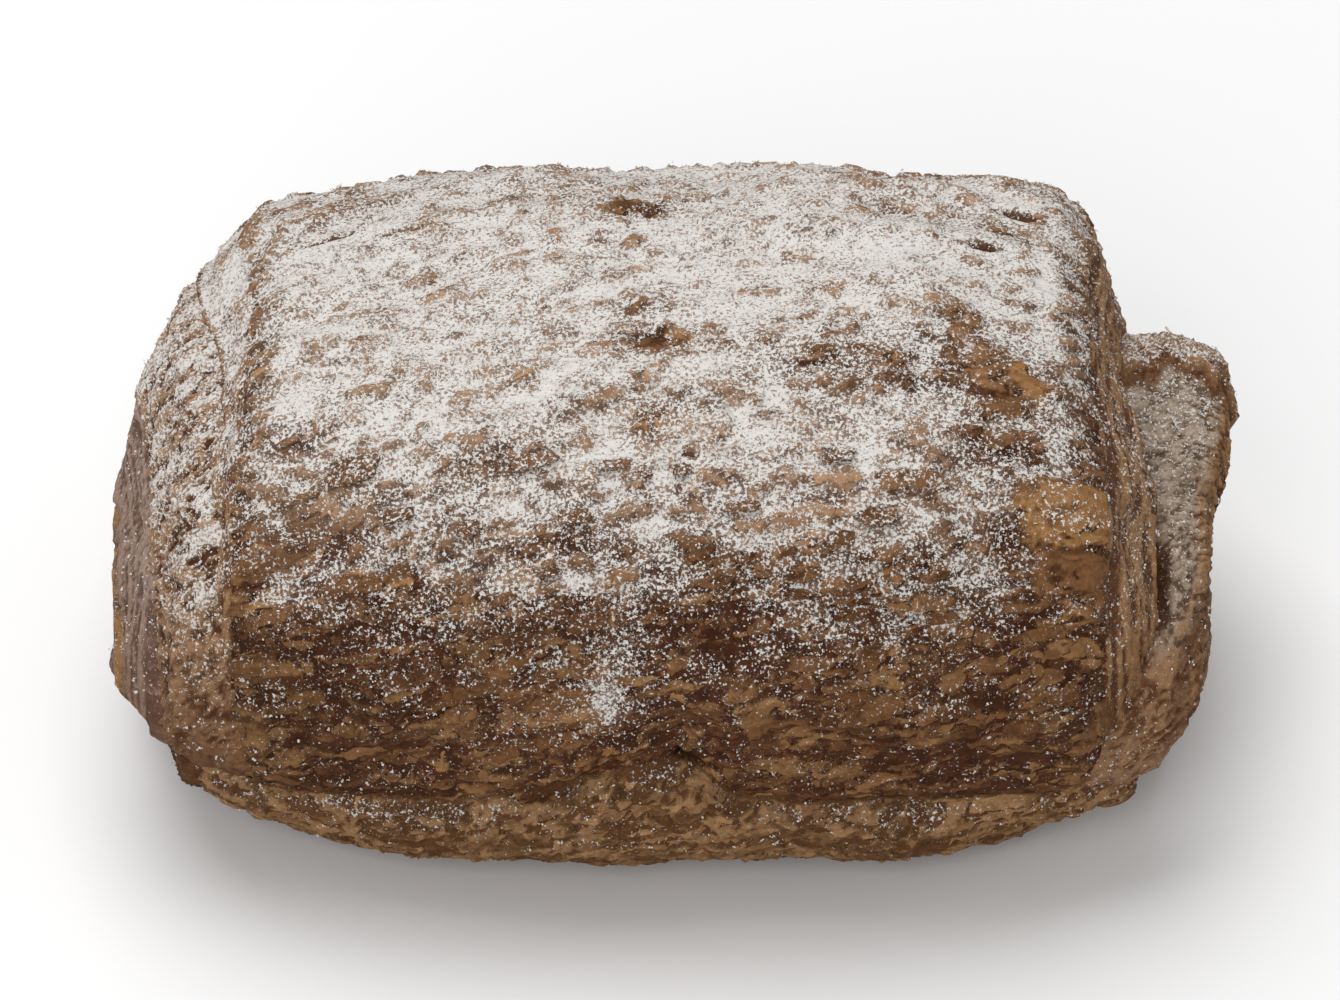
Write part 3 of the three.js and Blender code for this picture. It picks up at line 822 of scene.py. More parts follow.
# %% Heights of the second turn
ON_SLEEVE = (45.0, 47.0)
RIDGE = SimpleNamespace(x=(53.8, 48.6), turns=(138.0, 192.0), width=0.5, span=(100.0, 120.0, 190.0, 205.0),
                        base=0.6, crumb=0.7, height=0.5)
LIP = SimpleNamespace(start=(30.0, 44.0), end=68.0, wander=6.0, soft=4.0, crumb=0.4, read_w=0.2,
                      read_from=40.0, read_run=190.0)
SLIT = SimpleNamespace(pixel=(1164, 582), half_long=0.8, half_tall=12.0, depth=2.2)
CARVED = SimpleNamespace(span=(54.0, 64.0, 120.0, 170.0), depth=0.9)
CRUMB_HEIGHT = SimpleNamespace(left=0.42, right=0.26)
INSIDE_WRAP = SimpleNamespace(step=(33.0, 37.0), depth=2.5)

second_left = (second.side < 0) | ((second.side == 0) & (second.x < 0))
sleeve_angle = np.mod(second.w + CREASE.at_ends, 360.0)
on_sleeve = soft_step(*ON_SLEEVE, second.x) * (second.side >= 0) * ~second.sunk

ridge_x = between(*RIDGE.x, soft_step(*RIDGE.turns, sleeve_angle))
past_ridge_by = second.x - ridge_x
ridge = hump(past_ridge_by, RIDGE.width) * window(*RIDGE.span, sleeve_angle) * on_sleeve
ridge = ridge * (RIDGE.base + RIDGE.crumb * second_crumb)

lip_part = np.clip((second.x - LIP.read_from) / LIP.read_run, 0.0, 1.0)
lip_end = LIP.end + LIP.wander * open_crumb(second.w * LIP.read_w, lip_part)
lip = window(*LIP.start, lip_end - LIP.soft, lip_end + LIP.soft, sleeve_angle) * on_sleeve

slit_w, slit_x = spot(*SLIT.pixel, second)
slit = np.exp(-(((second.x - slit_x) / SLIT.half_long) ** 4) - ((second.w - slit_w) / SLIT.half_tall) ** 4)
slit = slit * on_sleeve
carved = window(*CARVED.span, sleeve_angle) * on_sleeve * (1.0 - lip)
inside_wrap = 1.0 - soft_step(*INSIDE_WRAP.step, np.abs(second.x))

second.relief = np.where(second_left, CRUMB_HEIGHT.left, CRUMB_HEIGHT.right) * second_crumb
second.relief = second.relief + RIDGE.height * ridge - SLIT.depth * slit - CARVED.depth * carved
second.relief = second.relief + LIP.crumb * lip * second_crumb - INSIDE_WRAP.depth * inside_wrap
print("slit at winding and length:", np.round([slit_w, slit_x], 1))

# %% [markdown]
# ## Raising every turn
#
# The two inner turns show little more than their leaves, at the middle of the ends. Then the relief of
# every turn is added along its normals, and the normals are worked out again. The sunk faces stay smooth,
# and nothing sinks below the table.

# %% Heights of the core, and all relief added
CORE = SimpleNamespace(swing=0.05, skin=0.08, third=0.16, fourth=0.2)

third_leaf = leaves(third, CORE.swing, core_lattice)
third.relief = np.where(third.side == 0, CORE.skin * crumb(third), CORE.third * third_leaf)
fourth_leaf = leaves(fourth, CORE.swing)
fourth.relief = CORE.fourth * fourth_leaf

for turn in turns:
    turn.form_normals = turn.normals
    turn.relief = turn.relief * ~turn.sunk
    turn.points = turn.points + turn.relief[..., None] * turn.normals
    turn.points[..., 2] = np.maximum(turn.points[..., 2], 0.0)
    turn.normals = grid_normals(turn.points)
    print("relief, mm:", round(float(turn.relief.min()), 2), "to", round(float(turn.relief.max()), 2))

# %% [markdown]
# ## Colours of the dough
#
# Two colours are kept at every point: one for what lies low, the gap between plates or the groove
# between leaves, and one for what stands up. The finish will choose between them with a sharp edge.
# Paint values are written as they would be picked from a screen and turned into light values.

# %% Paints and how they mix
SCREEN = SimpleNamespace(white=255.0, toe=0.04045, slope=12.92, offset=0.055, power=2.4)


def paint(red, green, blue):
    """A screen colour, 0 to 255, as linear light: a straight toe and then a power of the value."""
    screen = np.array([red, green, blue]) / SCREEN.white
    curve = ((screen + SCREEN.offset) / (1.0 + SCREEN.offset)) ** SCREEN.power
    return np.where(screen <= SCREEN.toe, screen / SCREEN.slope, curve)


def blend(a, b, amount):
    """Two colours, or two grids of colours, mixed by a grid of amounts."""
    return a + (b - a) * amount[..., None]


def graded(tone, dark, middle, pale, early, late):
    """Three colours in a row by a tone, with a soft change early and another late."""
    return blend(blend(dark, middle, soft_step(*early, tone)), pale, soft_step(*late, tone))


def tinted(pair, low, high, amount):
    """A pair of low and high colours, each mixed by an amount with a colour of its own."""
    return blend(pair[0], low, amount), blend(pair[1], high, amount)


GAP, DEEP, HOLE_SHADE = paint(76, 44, 27), paint(56, 31, 19), paint(40, 24, 16)
DARK, BROWN, AMBER, GOLD = paint(92, 60, 38), paint(112, 77, 48), paint(136, 98, 64), paint(154, 112, 68)
TAN, SHADE_BROWN = paint(132, 98, 63), paint(128, 99, 75)
HEEL_LOW, HEEL_HIGH = paint(92, 61, 37), paint(143, 109, 75)
GROOVE, LEAF = paint(100, 67, 47), paint(151, 114, 79)
PIT, CRUMB = paint(80, 51, 33), paint(162, 126, 94)
CORE_LOW, CORE_HIGH = paint(106, 81, 70), paint(156, 132, 119)
POWDER_LOW, POWDER_HIGH = paint(103, 82, 65), paint(162, 144, 126)
DUSTED_LOW, DUSTED_HIGH = paint(122, 97, 82), paint(178, 146, 119)
print("amber in linear light:", np.round(AMBER, 3))

# %% [markdown]
# ## Colours of the outer turn
#
# Plates run from brown over amber to a few of gold. Low on the front they are duller, and the heel has a
# tan of its own. Along the low front the colours are a little lighter left of the middle and darker
# towards the left end. The insides of the tears are painted dark as shade, and the deep hole at the pinch
# is painted nearly black. The cut edges are brown in the grooves and tan on the leaves, darkened near the
# table as painted shade.

# %% Low and high colours of the outer turn
FRONT_TONE = SimpleNamespace(pale=0.1, pale_x=-8.0, pale_width=22.0, dark=0.14, dark_x=-33.0, dark_width=14.0)
GAP_DEPTH = SimpleNamespace(base=0.5, ragged=0.6)
ON_HEEL = (14.0, 24.0)
TEAR_SHADE_LOW, TEAR_SHADE_HIGH, TEAR_SHADE_DEEP = (0.2, 0.7), (0.3, 0.8), (0.8, 1.8)
EDGE = SimpleNamespace(leaf=1.6, tear=1.5, crumbs=0.8)
FLAKY = SimpleNamespace(bald=0.55, heel=0.2)
NEAR_TABLE = (10.0, 35.0)
CUT_SHADE = 0.7

high = graded(tone, BROWN, AMBER, GOLD, early=(0.1, 0.7), late=(0.85, 1.0))
strip_high = graded(tone, DARK, BROWN, TAN, early=(0.0, 0.4), late=(0.4, 0.8))
high = blend(high, strip_high, np.clip(low_front, 0.0, 1.0))
gap_depth = GAP_DEPTH.base + GAP_DEPTH.ragged * ragged(outer.w, part_along)
low = blend(GAP, DEEP, np.clip(gap_depth, 0.0, 1.0))
# Along the low front the colours turn a little lighter left of the middle and darker towards the left end.
front_tone = FRONT_TONE.pale * hump(outer.x - FRONT_TONE.pale_x, FRONT_TONE.pale_width)
front_tone = 1.0 + low_front * (front_tone - FRONT_TONE.dark * hump(outer.x - FRONT_TONE.dark_x, FRONT_TONE.dark_width))
heel = 1.0 - soft_step(*ON_HEEL, outer.w)
pair = tinted((low * front_tone[..., None], high * front_tone[..., None]), HEEL_LOW, HEEL_HIGH, heel)
# Painted shade inside the tears: both colours darken there, and turn nearly black where a tear is deep.
pair = blend(pair[0], DARK, soft_step(*TEAR_SHADE_LOW, tear)), blend(pair[1], BROWN, soft_step(*TEAR_SHADE_HIGH, tear))
pair = tinted(pair, HOLE_SHADE, HOLE_SHADE, soft_step(*TEAR_SHADE_DEEP, tear_depth))
pair = tinted(pair, GROOVE, LEAF, on_cut)

# Painted shade near the table: by height, how much each turn's colours are darkened low down; here the outer
# turn's cut edges go towards DARK.
shaded = [1.0 - soft_step(*NEAR_TABLE, turn.points[..., 2]) for turn in turns]
outer.low, outer.high = tinted(pair, DARK, DARK, CUT_SHADE * shaded[0] * on_cut)
# In the tears the edge drops, so the dark low colour fills them as painted shade.
skin_edge = np.clip(plate_in, -1.0, 1.0) - EDGE.tear * tear + EDGE.crumbs * crumbs
outer.edge = np.where(on_cut > 0, EDGE.leaf * outer_leaf, skin_edge)
outer.flaky = (1.0 - on_cut) * (1.0 - tear) * (1.0 - FLAKY.bald * bald) * (1.0 - FLAKY.heel * heel)
for turn in turns[1:]:
    turn.unrolled, turn.flaky = 0.0 * turn.points, 0.0 * turn.w
print("share of the outer grid on the heel:", round(float(heel.mean()), 2))

# %% [markdown]
# ## Colours of the inner turns
#
# The left end is tan crumb with dark pits. On the sleeve a grey powder of sugar and crumb fills the skin
# between the lip and the ridge, a painted shadow runs as a dark line under the lip, another dark line runs
# past the ridge, and the rim stays clear. The slit, and the turn where it runs inside the wrap, are
# painted dark as shade. Near the table everything is darkened as painted shade. The core shows greyed
# leaves at the left end.

# %% Low and high colours of the inner turns
PAST_RIDGE = SimpleNamespace(step=(0.0, 1.2), turns=(150.0, 170.0), fade=(1.6, 3.0), most=0.85)
LIP_DARK = 0.3
LIP_SHADOW = SimpleNamespace(most=0.7, after=4.0, width=3.5)
POWDER = SimpleNamespace(after_lip=(3.0, 9.0), end=(166.0, 178.0), from_rim=(0.5, 1.7), crumb=0.7)
SLEEVE_EDGE = 0.6
RIGHT_SHADE, CORE_SHADE = 0.85, 0.8
RIGHT_END = (0.0, 10.0)
CORE_EDGE = 1.3

past_ridge = soft_step(*PAST_RIDGE.step, past_ridge_by) * soft_step(*PAST_RIDGE.turns, sleeve_angle)
past_ridge = past_ridge * on_sleeve
dark_line = past_ridge * (1.0 - PAST_RIDGE.most * soft_step(*PAST_RIDGE.fade, past_ridge_by))
# A painted shadow: a dark line just under the lip, along its ragged end.
lip_shadow = LIP_SHADOW.most * bell(sleeve_angle, lip_end + LIP_SHADOW.after, LIP_SHADOW.width) * on_sleeve
powder = soft_step(lip_end + POWDER.after_lip[0], lip_end + POWDER.after_lip[1], sleeve_angle)
powder = powder * (1.0 - soft_step(*POWDER.end, sleeve_angle)) * on_sleeve
from_rim = edge_x(1, 1, second.w) - second.x + POWDER.crumb * second_crumb
powder = powder * soft_step(*POWDER.from_rim, from_rim) * (1.0 - past_ridge)
powder = powder * (1.0 - np.clip(ridge, 0.0, 1.0)) * (1.0 - slit)

# The low colour is darker on the lip, and in the slit both colours darken as painted shade inside it.
pair = blend(GROOVE, DARK, np.maximum(LIP_DARK * lip, slit)), blend(LEAF, BROWN, slit)
pair = tinted(pair, GAP, GROOVE, dark_line)
pair = tinted(pair, POWDER_LOW, POWDER_HIGH, powder)
# The painted shadow under the lip turns both colours to the dark gap colour.
pair = tinted(pair, GAP, GAP, lip_shadow)
left = second_left[..., None]
pair = np.where(left, PIT, pair[0]), np.where(left, CRUMB, pair[1])
# Painted shade near the table: the colours darken towards DARK, and on the right towards a shade brown.
unlit = np.where(second_left, 1.0, RIGHT_SHADE) * shaded[1]
pair = tinted(pair, DARK, np.where(left, DARK, SHADE_BROWN), unlit)
# Painted shade inside the wrap: where the turn runs under the outer turn its colours darken to gap and brown.
second.low, second.high = tinted(pair, GAP, BROWN, inside_wrap)
# The slit drops the edge, so its dark low colour shows there as painted shade.
second.edge = np.where(second.sunk, leaves(second, CORE.swing), second_crumb + SLEEVE_EDGE * ridge - slit)

on_right_end = soft_step(*RIGHT_END, third.x)
pair = blend(CORE_LOW, GROOVE, on_right_end), blend(CORE_HIGH, LEAF, on_right_end)
# Painted shade near the table: the core's colours darken towards dark and brown low down.
third.low, third.high = tinted(pair, DARK, BROWN, CORE_SHADE * shaded[2])
third.edge = CORE_EDGE * third_leaf
fourth.low, fourth.high = CORE_LOW + 0.0 * fourth.points, LEAF + 0.0 * fourth.points
fourth.edge = fourth_leaf
print("share of the second turn under powder:", round(float(powder.mean()), 3))

# %% [markdown]
# ## Where the sugar lies
#
# Icing sugar falls straight down, so it lies thick where the crust faces up, thins out down the front
# and misses what faces down. The result will be a number at every point: the share of the surface that
# is white. The shares by slope were chosen by comparing pictures of the model with the photo, and two
# lattices make them patchy.

# %% Share of sugar by slope
SLOPES = (0.0, 0.25, 0.45, 0.55, 0.68, 0.8, 0.88, 0.96)
SHARES = (0.07, 0.18, 0.27, 0.33, 0.44, 0.57, 0.68, 0.78)
FACES_DOWN = -0.25
FORM_PART = 0.65
PATCHY = SimpleNamespace(wide=0.1, fine=0.4, gain=1.6, full=1.05)
HALF_WHOLE = 56.0
drift = uneven(131, 34, 14)
drift_fine = uneven(137, 100, 44)


def whole_part(x):
    """0 at the left end of the whole roll and 1 at the right, the coiled ends included."""
    return np.clip((x + HALF_WHOLE) / (2.0 * HALF_WHOLE), 0.0, 1.0)


def sugar_share(turn, most):
    """Sugar by how far a point faces up, form and relief together, made patchy by two lattices."""
    up = FORM_PART * turn.form_normals[..., 2] + (1.0 - FORM_PART) * turn.normals[..., 2]
    share = np.interp(up, SLOPES, SHARES) * (turn.normals[..., 2] > FACES_DOWN)
    around, part = level(turn.w, turn.x), whole_part(turn.x)
    patchy = PATCHY.wide * drift(around, part) + PATCHY.fine * drift_fine(around, part)
    return most * (share + PATCHY.gain * share * (PATCHY.full - share) * patchy)


by_slope = sugar_share(outer, 1.0)
print("mean share by slope alone:", round(float(by_slope.mean()), 2))

# %% [markdown]
# ## Drifts and bare patches
#
# The sugar also drifts: the right end and some spots on top are nearly bare, and drifts lie low on the
# front. Each drift or bare patch is given by where it appears in the picture, its half length and half
# height in millimetres, and what it adds to the share of sugar.

# %% Drifts, placed by where they appear
DRIFTS = [
    (1045, 485, 8.0, 9.0, -0.3),
    (1003, 378, 6.5, 5.5, -0.32),
    (1075, 245, 4.0, 4.0, -0.12),
    (850, 362, 8.0, 4.0, -0.38),
    (653, 345, 1.7, 1.3, -0.75),
    (655, 425, 2.4, 2.6, -0.35),
    (636, 205, 4.2, 2.4, -0.5),
    (640, 305, 2.6, 2.4, -0.3),
    (1000, 232, 4.0, 2.4, -0.35),
    (585, 580, 5.0, 1.8, 0.38),
    (602, 702, 5.2, 3.2, 0.42),
    (670, 778, 7.0, 3.0, -0.2),
    (345, 208, 7.5, 4.5, -0.22),
    (560, 325, 3.0, 2.0, -0.15),
    (580, 378, 3.0, 2.5, 0.3),
    (690, 335, 8.0, 3.0, -0.2),
    (965, 318, 3.0, 3.0, -0.24),
    (985, 440, 4.0, 4.0, -0.16),
    (1085, 330, 2.2, 9.0, 0.24),
    (1078, 262, 2.2, 5.0, 0.15),
    (1038, 488, 4.0, 2.0, 0.12),
    (1072, 518, 3.0, 1.0, 0.35),
    (350, 535, 4.0, 2.0, -0.15),
    (560, 545, 5.0, 1.6, -0.3),
    (580, 490, 5.0, 2.4, 0.2),
    (875, 505, 6.0, 2.0, -0.16),
    (820, 552, 5.0, 2.6, 0.18),
    (980, 552, 4.0, 2.8, 0.36),
    (860, 580, 7.0, 1.8, 0.24),
    (960, 592, 5.0, 1.8, 0.2),
    (815, 628, 4.0, 1.5, -0.15),
    (665, 550, 4.0, 2.6, 0.22),
    (650, 505, 4.0, 2.0, 0.14),
    (520, 568, 3.0, 1.8, -0.16),
    (690, 662, 4.0, 2.4, -0.3),
    (592, 658, 4.0, 2.2, 0.17),
    (640, 622, 16.0, 2.6, 0.07),
    (1070, 640, 4.0, 5.0, -0.08),
    (1000, 345, 4.0, 2.5, -0.12),
    (740, 630, 6.0, 2.0, -0.14),
    (420, 640, 11.0, 3.4, 0.09),
    (500, 615, 3.0, 2.0, 0.12),
    (710, 650, 6.0, 2.0, 0.08),
    (940, 612, 6.0, 2.2, 0.22),
    (1055, 508, 5.0, 3.0, 0.26),
    (900, 215, 5.0, 3.0, -0.15),
    (930, 320, 14.0, 8.0, -0.08),
]

drifted = np.zeros(outer.w.shape)
for across, down, half_long, half_tall, amount in DRIFTS:
    drift_w, drift_x = spot(across, down)
    away = (round_by - level(drift_w, drift_x)) * MM_PER_DEGREE
    far = ((outer.x - drift_x) / half_long) ** 2 + (away / half_tall) ** 2
    drifted = drifted + amount * np.exp(-far)
print("drifts and bare patches:", len(DRIFTS))

# %% [markdown]
# ## Sugar on every turn
#
# Sugar slides off the raised plates into the gaps, more on the steep front than on top, where the palest
# plates stay the barest. A veil of the finest dust also lightens the dough itself on top, away from the
# bare patches, the tears and the torn sheets at the right. At the left end the sugar thins out towards
# the table, and on the sleeve it lies on the lip and in the powder.

# %% Shares of the four turns
BARE = (-0.15, 0.35)
SLIDE = SimpleNamespace(steep=0.46, flat=0.14, pale=0.32, pale_tone=(0.6, 0.85), up=(0.75, 0.95))
IN_GAPS, DRIFT_OFF_PLATES, TEAR_CLEAN = 0.16, 0.6, 0.9
CUT_SUGAR = SimpleNamespace(left=1.45, right=0.78)
VEIL = SimpleNamespace(up=(0.5, 0.95), bare=(0.06, 0.3), bare_loss=0.9, tear=(0.2, 0.7), torn=(-0.05, 0.05),
                       torn_loss=0.85, torn_from=(0.0, 20.0), low=0.55, high=0.6)
LEFT_HEIGHTS, LEFT_SHARES = (10.0, 20.0, 28.0, 32.0, 36.0, 44.0), (0.03, 0.08, 0.24, 0.48, 0.66, 0.6)
LEFT = SimpleNamespace(crumb=(-0.9, 0.0), up=(-0.6, 0.0), patchy=0.5)
RIGHT = SimpleNamespace(thick=(0.34, 0.16), thins=(80.0, 135.0), lip=0.52, up=(-0.3, 0.3), lip_shadow=0.7,
                        least=0.04)
CORE_SUGAR = 0.3

form_up = outer.form_normals[..., 2]
bare = soft_step(*BARE, plate_in)
flat_slide = SLIDE.flat + SLIDE.pale * soft_step(*SLIDE.pale_tone, tone)
slide = bare * between(SLIDE.steep, flat_slide, soft_step(*SLIDE.up, form_up))
on_skin = by_slope * (1.0 - slide) + IN_GAPS * (1.0 - bare) * by_slope
on_skin = on_skin + drifted * np.where(drifted > 0, 1.0 - DRIFT_OFF_PLATES * bare, 1.0)
on_skin = on_skin * (1.0 - TEAR_CLEAN * tear)
on_edge = by_slope * np.where(outer.side < 0, CUT_SUGAR.left, CUT_SUGAR.right)
outer.sugar = np.clip(np.where(on_cut > 0, on_edge, on_skin), 0.0, 1.0)

veil = soft_step(*VEIL.up, form_up) * (1.0 - VEIL.bare_loss * soft_step(*VEIL.bare, -drifted))
veil = veil * (1.0 - on_cut) * (1.0 - soft_step(*VEIL.tear, tear))
on_torn = soft_step(*VEIL.torn, torn_in) * soft_step(*VEIL.torn_from, outer.x)
veil = veil * (1.0 - VEIL.torn_loss * on_torn)
outer.low = blend(outer.low, DUSTED_LOW, VEIL.low * veil)
outer.high = blend(outer.high, DUSTED_HIGH, VEIL.high * veil)

second_up = second.normals[..., 2]
on_left = np.interp(second.points[..., 2], LEFT_HEIGHTS, LEFT_SHARES)
on_left = on_left * soft_step(*LEFT.crumb, second_crumb) * soft_step(*LEFT.up, second_up)
on_left = on_left * (1.0 + LEFT.patchy * drift_fine(second.w, whole_part(second.x)))
on_right = between(*RIGHT.thick, soft_step(*RIGHT.thins, sleeve_angle)) * powder
on_right = on_right + RIGHT.lip * lip * soft_step(*RIGHT.up, second_up)
on_right = on_right * (1.0 - RIGHT.lip_shadow * lip_shadow) + RIGHT.least
second.sugar = np.clip(np.where(second_left, on_left, on_right), 0.0, 1.0) * (1.0 - inside_wrap)
for turn in (third, fourth):
    turn.sugar = np.clip(sugar_share(turn, CORE_SUGAR), 0.0, 1.0)
print("mean sugar:", [round(float(turn.sugar.mean()), 2) for turn in turns])

# %% [markdown]
# ## Shader arithmetic
#
# A finish in Blender is a web of nodes, and sums of nodes are hard to read as a picture. A small class
# wraps an output socket, so that a sum written in Python adds the nodes it needs. Any other node comes
# from one method, which sets the node up and fills its sockets with numbers or links. The colour sockets
# of a Mix node share their names with its other sockets, so they are told apart by number.

# %% A socket that can be reckoned with
MIX = SimpleNamespace(factor=0, first=6, second=7, result=2)


class Wire:
    """An output socket of a node tree, with Python's arithmetic for single values."""

    def __init__(self, tree, socket=None):
        self.tree = tree
        self.socket = socket

    def node(self, kind, settings, sockets, output=0):
        """Adds a node of a kind, sets its settings, fills its sockets and returns one output."""
        node = self.tree.nodes.new(kind)
        for name, value in settings.items():
            setattr(node, name, value)
        for key, value in sockets.items():
            if isinstance(value, Wire):
                self.tree.links.new(value.socket, node.inputs[key])
            else:
                node.inputs[key].default_value = value
        return Wire(self.tree, node.outputs[output] if node.outputs else None)

    def maths(self, operation, *values):
        """A Math node on values or wires."""
        return self.node("ShaderNodeMath", {"operation": operation}, dict(enumerate(values)))

    def __add__(self, other):
        return self.maths("ADD", self, other)

    def __radd__(self, other):
        return self.maths("ADD", other, self)

    def __sub__(self, other):
        return self.maths("SUBTRACT", self, other)

    def __rsub__(self, other):
        return self.maths("SUBTRACT", other, self)

    def __mul__(self, other):
        return self.maths("MULTIPLY", self, other)

    def soft(self, low, high):
        """A soft step of this value from 0 at low to 1 at high."""
        settings = {"interpolation_type": "SMOOTHSTEP"}
        return self.node("ShaderNodeMapRange", settings, {"Value": self, "From Min": low, "From Max": high})

    def mix(self, a, b):
        """Colours a and b mixed by this value."""
        sockets = {MIX.factor: self, MIX.first: a, MIX.second: b}
        return self.node("ShaderNodeMix", {"data_type": "RGBA"}, sockets, MIX.result)

    def scaled(self, by):
        """This colour made lighter or darker by a factor."""
        return self.node("ShaderNodeVectorMath", {"operation": "SCALE"}, {0: self, "Scale": by})

    def stretched(self, by, shift):
        """This vector, or value, times a vector and shifted by another."""
        return self.node("ShaderNodeVectorMath", {"operation": "MULTIPLY_ADD"}, {0: self, 1: by, 2: shift})

    def kept(self, name, output="Fac"):
        """A grid kept on the mesh under a name."""
        return self.node("ShaderNodeAttribute", {"attribute_name": name}, {}, output)

    def noise(self, scale, detail, roughness):
        """Noise read at the object's own coordinates, in cells per metre."""
        own = self.node("ShaderNodeTexCoord", {}, {}, "Object")
        sockets = {"Vector": own, "Scale": scale, "Detail": detail, "Roughness": roughness}
        return self.node("ShaderNodeTexNoise", {}, sockets)


def new_finish(name):
    """An empty material, and a wire to add nodes to it with."""
    finish = bpy.data.materials.new(name)
    finish.use_nodes = True
    finish.node_tree.nodes.clear()
    return finish, Wire(finish.node_tree)


def surface(wire, sockets):
    """Ends a finish with a principled surface."""
    shade = wire.node("ShaderNodeBsdfPrincipled", {}, sockets)
    wire.node("ShaderNodeOutputMaterial", {}, {"Surface": shade})


dough_finish, wire = new_finish("cocoa_dough")
print("finish:", dough_finish.name)

# %% [markdown]
# ## The finish of the dough
#
# One finish serves every turn. It reads six grids kept on the mesh: the low and high colours, the signed
# distance to a plate's edge, the share of sugar, how flaky the skin is, and the skin rolled out flat. The
# plates of the mesh are broken up by fine noise at their edges. On them lie three layers of finer flakes,
# cells of a stretched cell texture on the flat skin, each with its own tone, a painted highlight on its
# rim and a dark gap.
# The middle layer also lifts the bump.

# %% Dough and its layers of flakes
NOISE_MIDDLE = 0.5
CRISP = SimpleNamespace(cells=1700.0, detail=3.0, roughness=0.7, edge=1.3, tone=1.1, crumbly=0.2)
MOTTLE = SimpleNamespace(cells=480.0, detail=4.0, roughness=0.72)
PLATE_EDGE = SimpleNamespace(low=-0.25, high=0.35, crumbly=0.25)
# How far the fine noise stirs the flat skin, in mm along and round the roll.
STIR = (1.5, -0.9, 0.0)
# Each layer of flakes: length and height of a flake in mm, and the share of the skin that it covers.
FLAKE_LAYERS = [(1.0, 0.6, 0.45), (2.0, 0.95, 0.5), (3.8, 1.5, 0.26)]
LAYER_SHIFT = 7.3
RAISED_LAYER = 1
FLAKE = SimpleNamespace(ragged=0.12, present=(0.0, 0.02), tone=(0.8, 0.42), rim=(0.04, 0.09, 0.24),
                        rim_lit=0.35, rim_pale=1.12, gap=(0.0, 0.09), gap_dark=0.74, inside=(0.02, 0.1))
LIFT = SimpleNamespace(plate=0.3, flake=0.35, edge=(0.02, 0.12))


def flake_cells(at, long, tall, shift):
    """Stretched cells on the flat skin: two random numbers of a cell and the distance to its edge."""
    sockets = {"Vector": at.stretched((1.0 / long, 1.0 / tall, 0.0), (shift, shift, 0.0)), "Scale": 1.0}
    flat, rim = {"voronoi_dimensions": "2D"}, {"voronoi_dimensions": "2D", "feature": "DISTANCE_TO_EDGE"}
    drawn = {"Color": at.node("ShaderNodeTexVoronoi", flat, sockets, "Color")}
    numbers = [at.node("ShaderNodeSeparateColor", {}, drawn, name) for name in ("Red", "Green")]
    return *numbers, at.node("ShaderNodeTexVoronoi", rim, sockets, "Distance")


low, high, flaky = wire.kept("low", "Color"), wire.kept("high", "Color"), wire.kept("flaky")
crumbly = 1.0 - flaky
crisp = wire.noise(CRISP.cells, CRISP.detail, CRISP.roughness) - NOISE_MIDDLE
mottle = wire.noise(MOTTLE.cells, MOTTLE.detail, MOTTLE.roughness) - NOISE_MIDDLE
spread = crumbly * PLATE_EDGE.crumbly
stands_up = (wire.kept("edge") + crisp * CRISP.edge).soft(PLATE_EDGE.low - spread, PLATE_EDGE.high + spread)
base = stands_up.mix(low, high)
lifted = stands_up * LIFT.plate
at = crisp.stretched(STIR, wire.kept("unrolled", "Vector"))
for i, (long, tall, covers) in enumerate(FLAKE_LAYERS):
    first, pale, rim = flake_cells(at, long, tall, LAYER_SHIFT * i)
    inside = rim + crisp * FLAKE.ragged
    present = (flaky * covers - first).soft(*FLAKE.present)
    flake_colour = pale.mix(low, high).scaled(FLAKE.tone[0] + pale * FLAKE.tone[1])
    # A painted highlight: a thin band just inside each flake's rim, lightened towards the high colour.
    rim_highlight = inside.soft(*FLAKE.rim[:2]) * (1.0 - inside.soft(*FLAKE.rim[1:]))
    flake_colour = (rim_highlight * FLAKE.rim_lit).mix(flake_colour, high.scaled(FLAKE.rim_pale))
    base = (present * (1.0 - inside.soft(*FLAKE.gap))).mix(base, base.scaled(FLAKE.gap_dark))
    base = (present * inside.soft(*FLAKE.inside)).mix(base, flake_colour)
    if i == RAISED_LAYER:
        lifted = lifted + present * inside.soft(*LIFT.edge) * LIFT.flake
base = base.scaled(1.0 + mottle + crisp * (CRISP.tone + crumbly * CRISP.crumbly))
print("nodes for the dough:", len(dough_finish.node_tree.nodes))

# %% [markdown]
# ## Dust over the dough
#
# The dust is two things on the real pastry: a thin grey film where sugar has melted into the fat, and dry
# white specks on top. The film is mixed in by the share of sugar. The specks are a fine noise, cut at a
# height that depends on that share, with small gaps where the dough shows through. The same specks, the
# plates and the fine noise feed one bump.

# %% Film, specks and bump
SUGAR_WHITE = (*paint(219, 215, 210), 1.0)
FILM_GREY = (*paint(178, 156, 141), 1.0)
GAPS = SimpleNamespace(cells=2300.0, detail=2.0, roughness=0.75, sugar=0.14, cut=(0.46, 0.56), film=0.6,
                       specks=0.85)
FILM = SimpleNamespace(mottle=0.7, cut=(0.34, 1.02), most=0.68)
SPECKS = SimpleNamespace(cells=2900.0, detail=2.0, roughness=0.7, cut=0.515, even_share=0.5, by_share=0.3,
                         none_below=0.03, none=0.2, mottle=0.2, edge=(-0.04, 0.06), height=0.45)
ROUGH = SimpleNamespace(dough=0.6, sugar=0.3)
BUMP = SimpleNamespace(strength=0.7, distance=0.00022, crisp=0.9, crumbly=0.6)
DOUGH_SHINE = 0.04

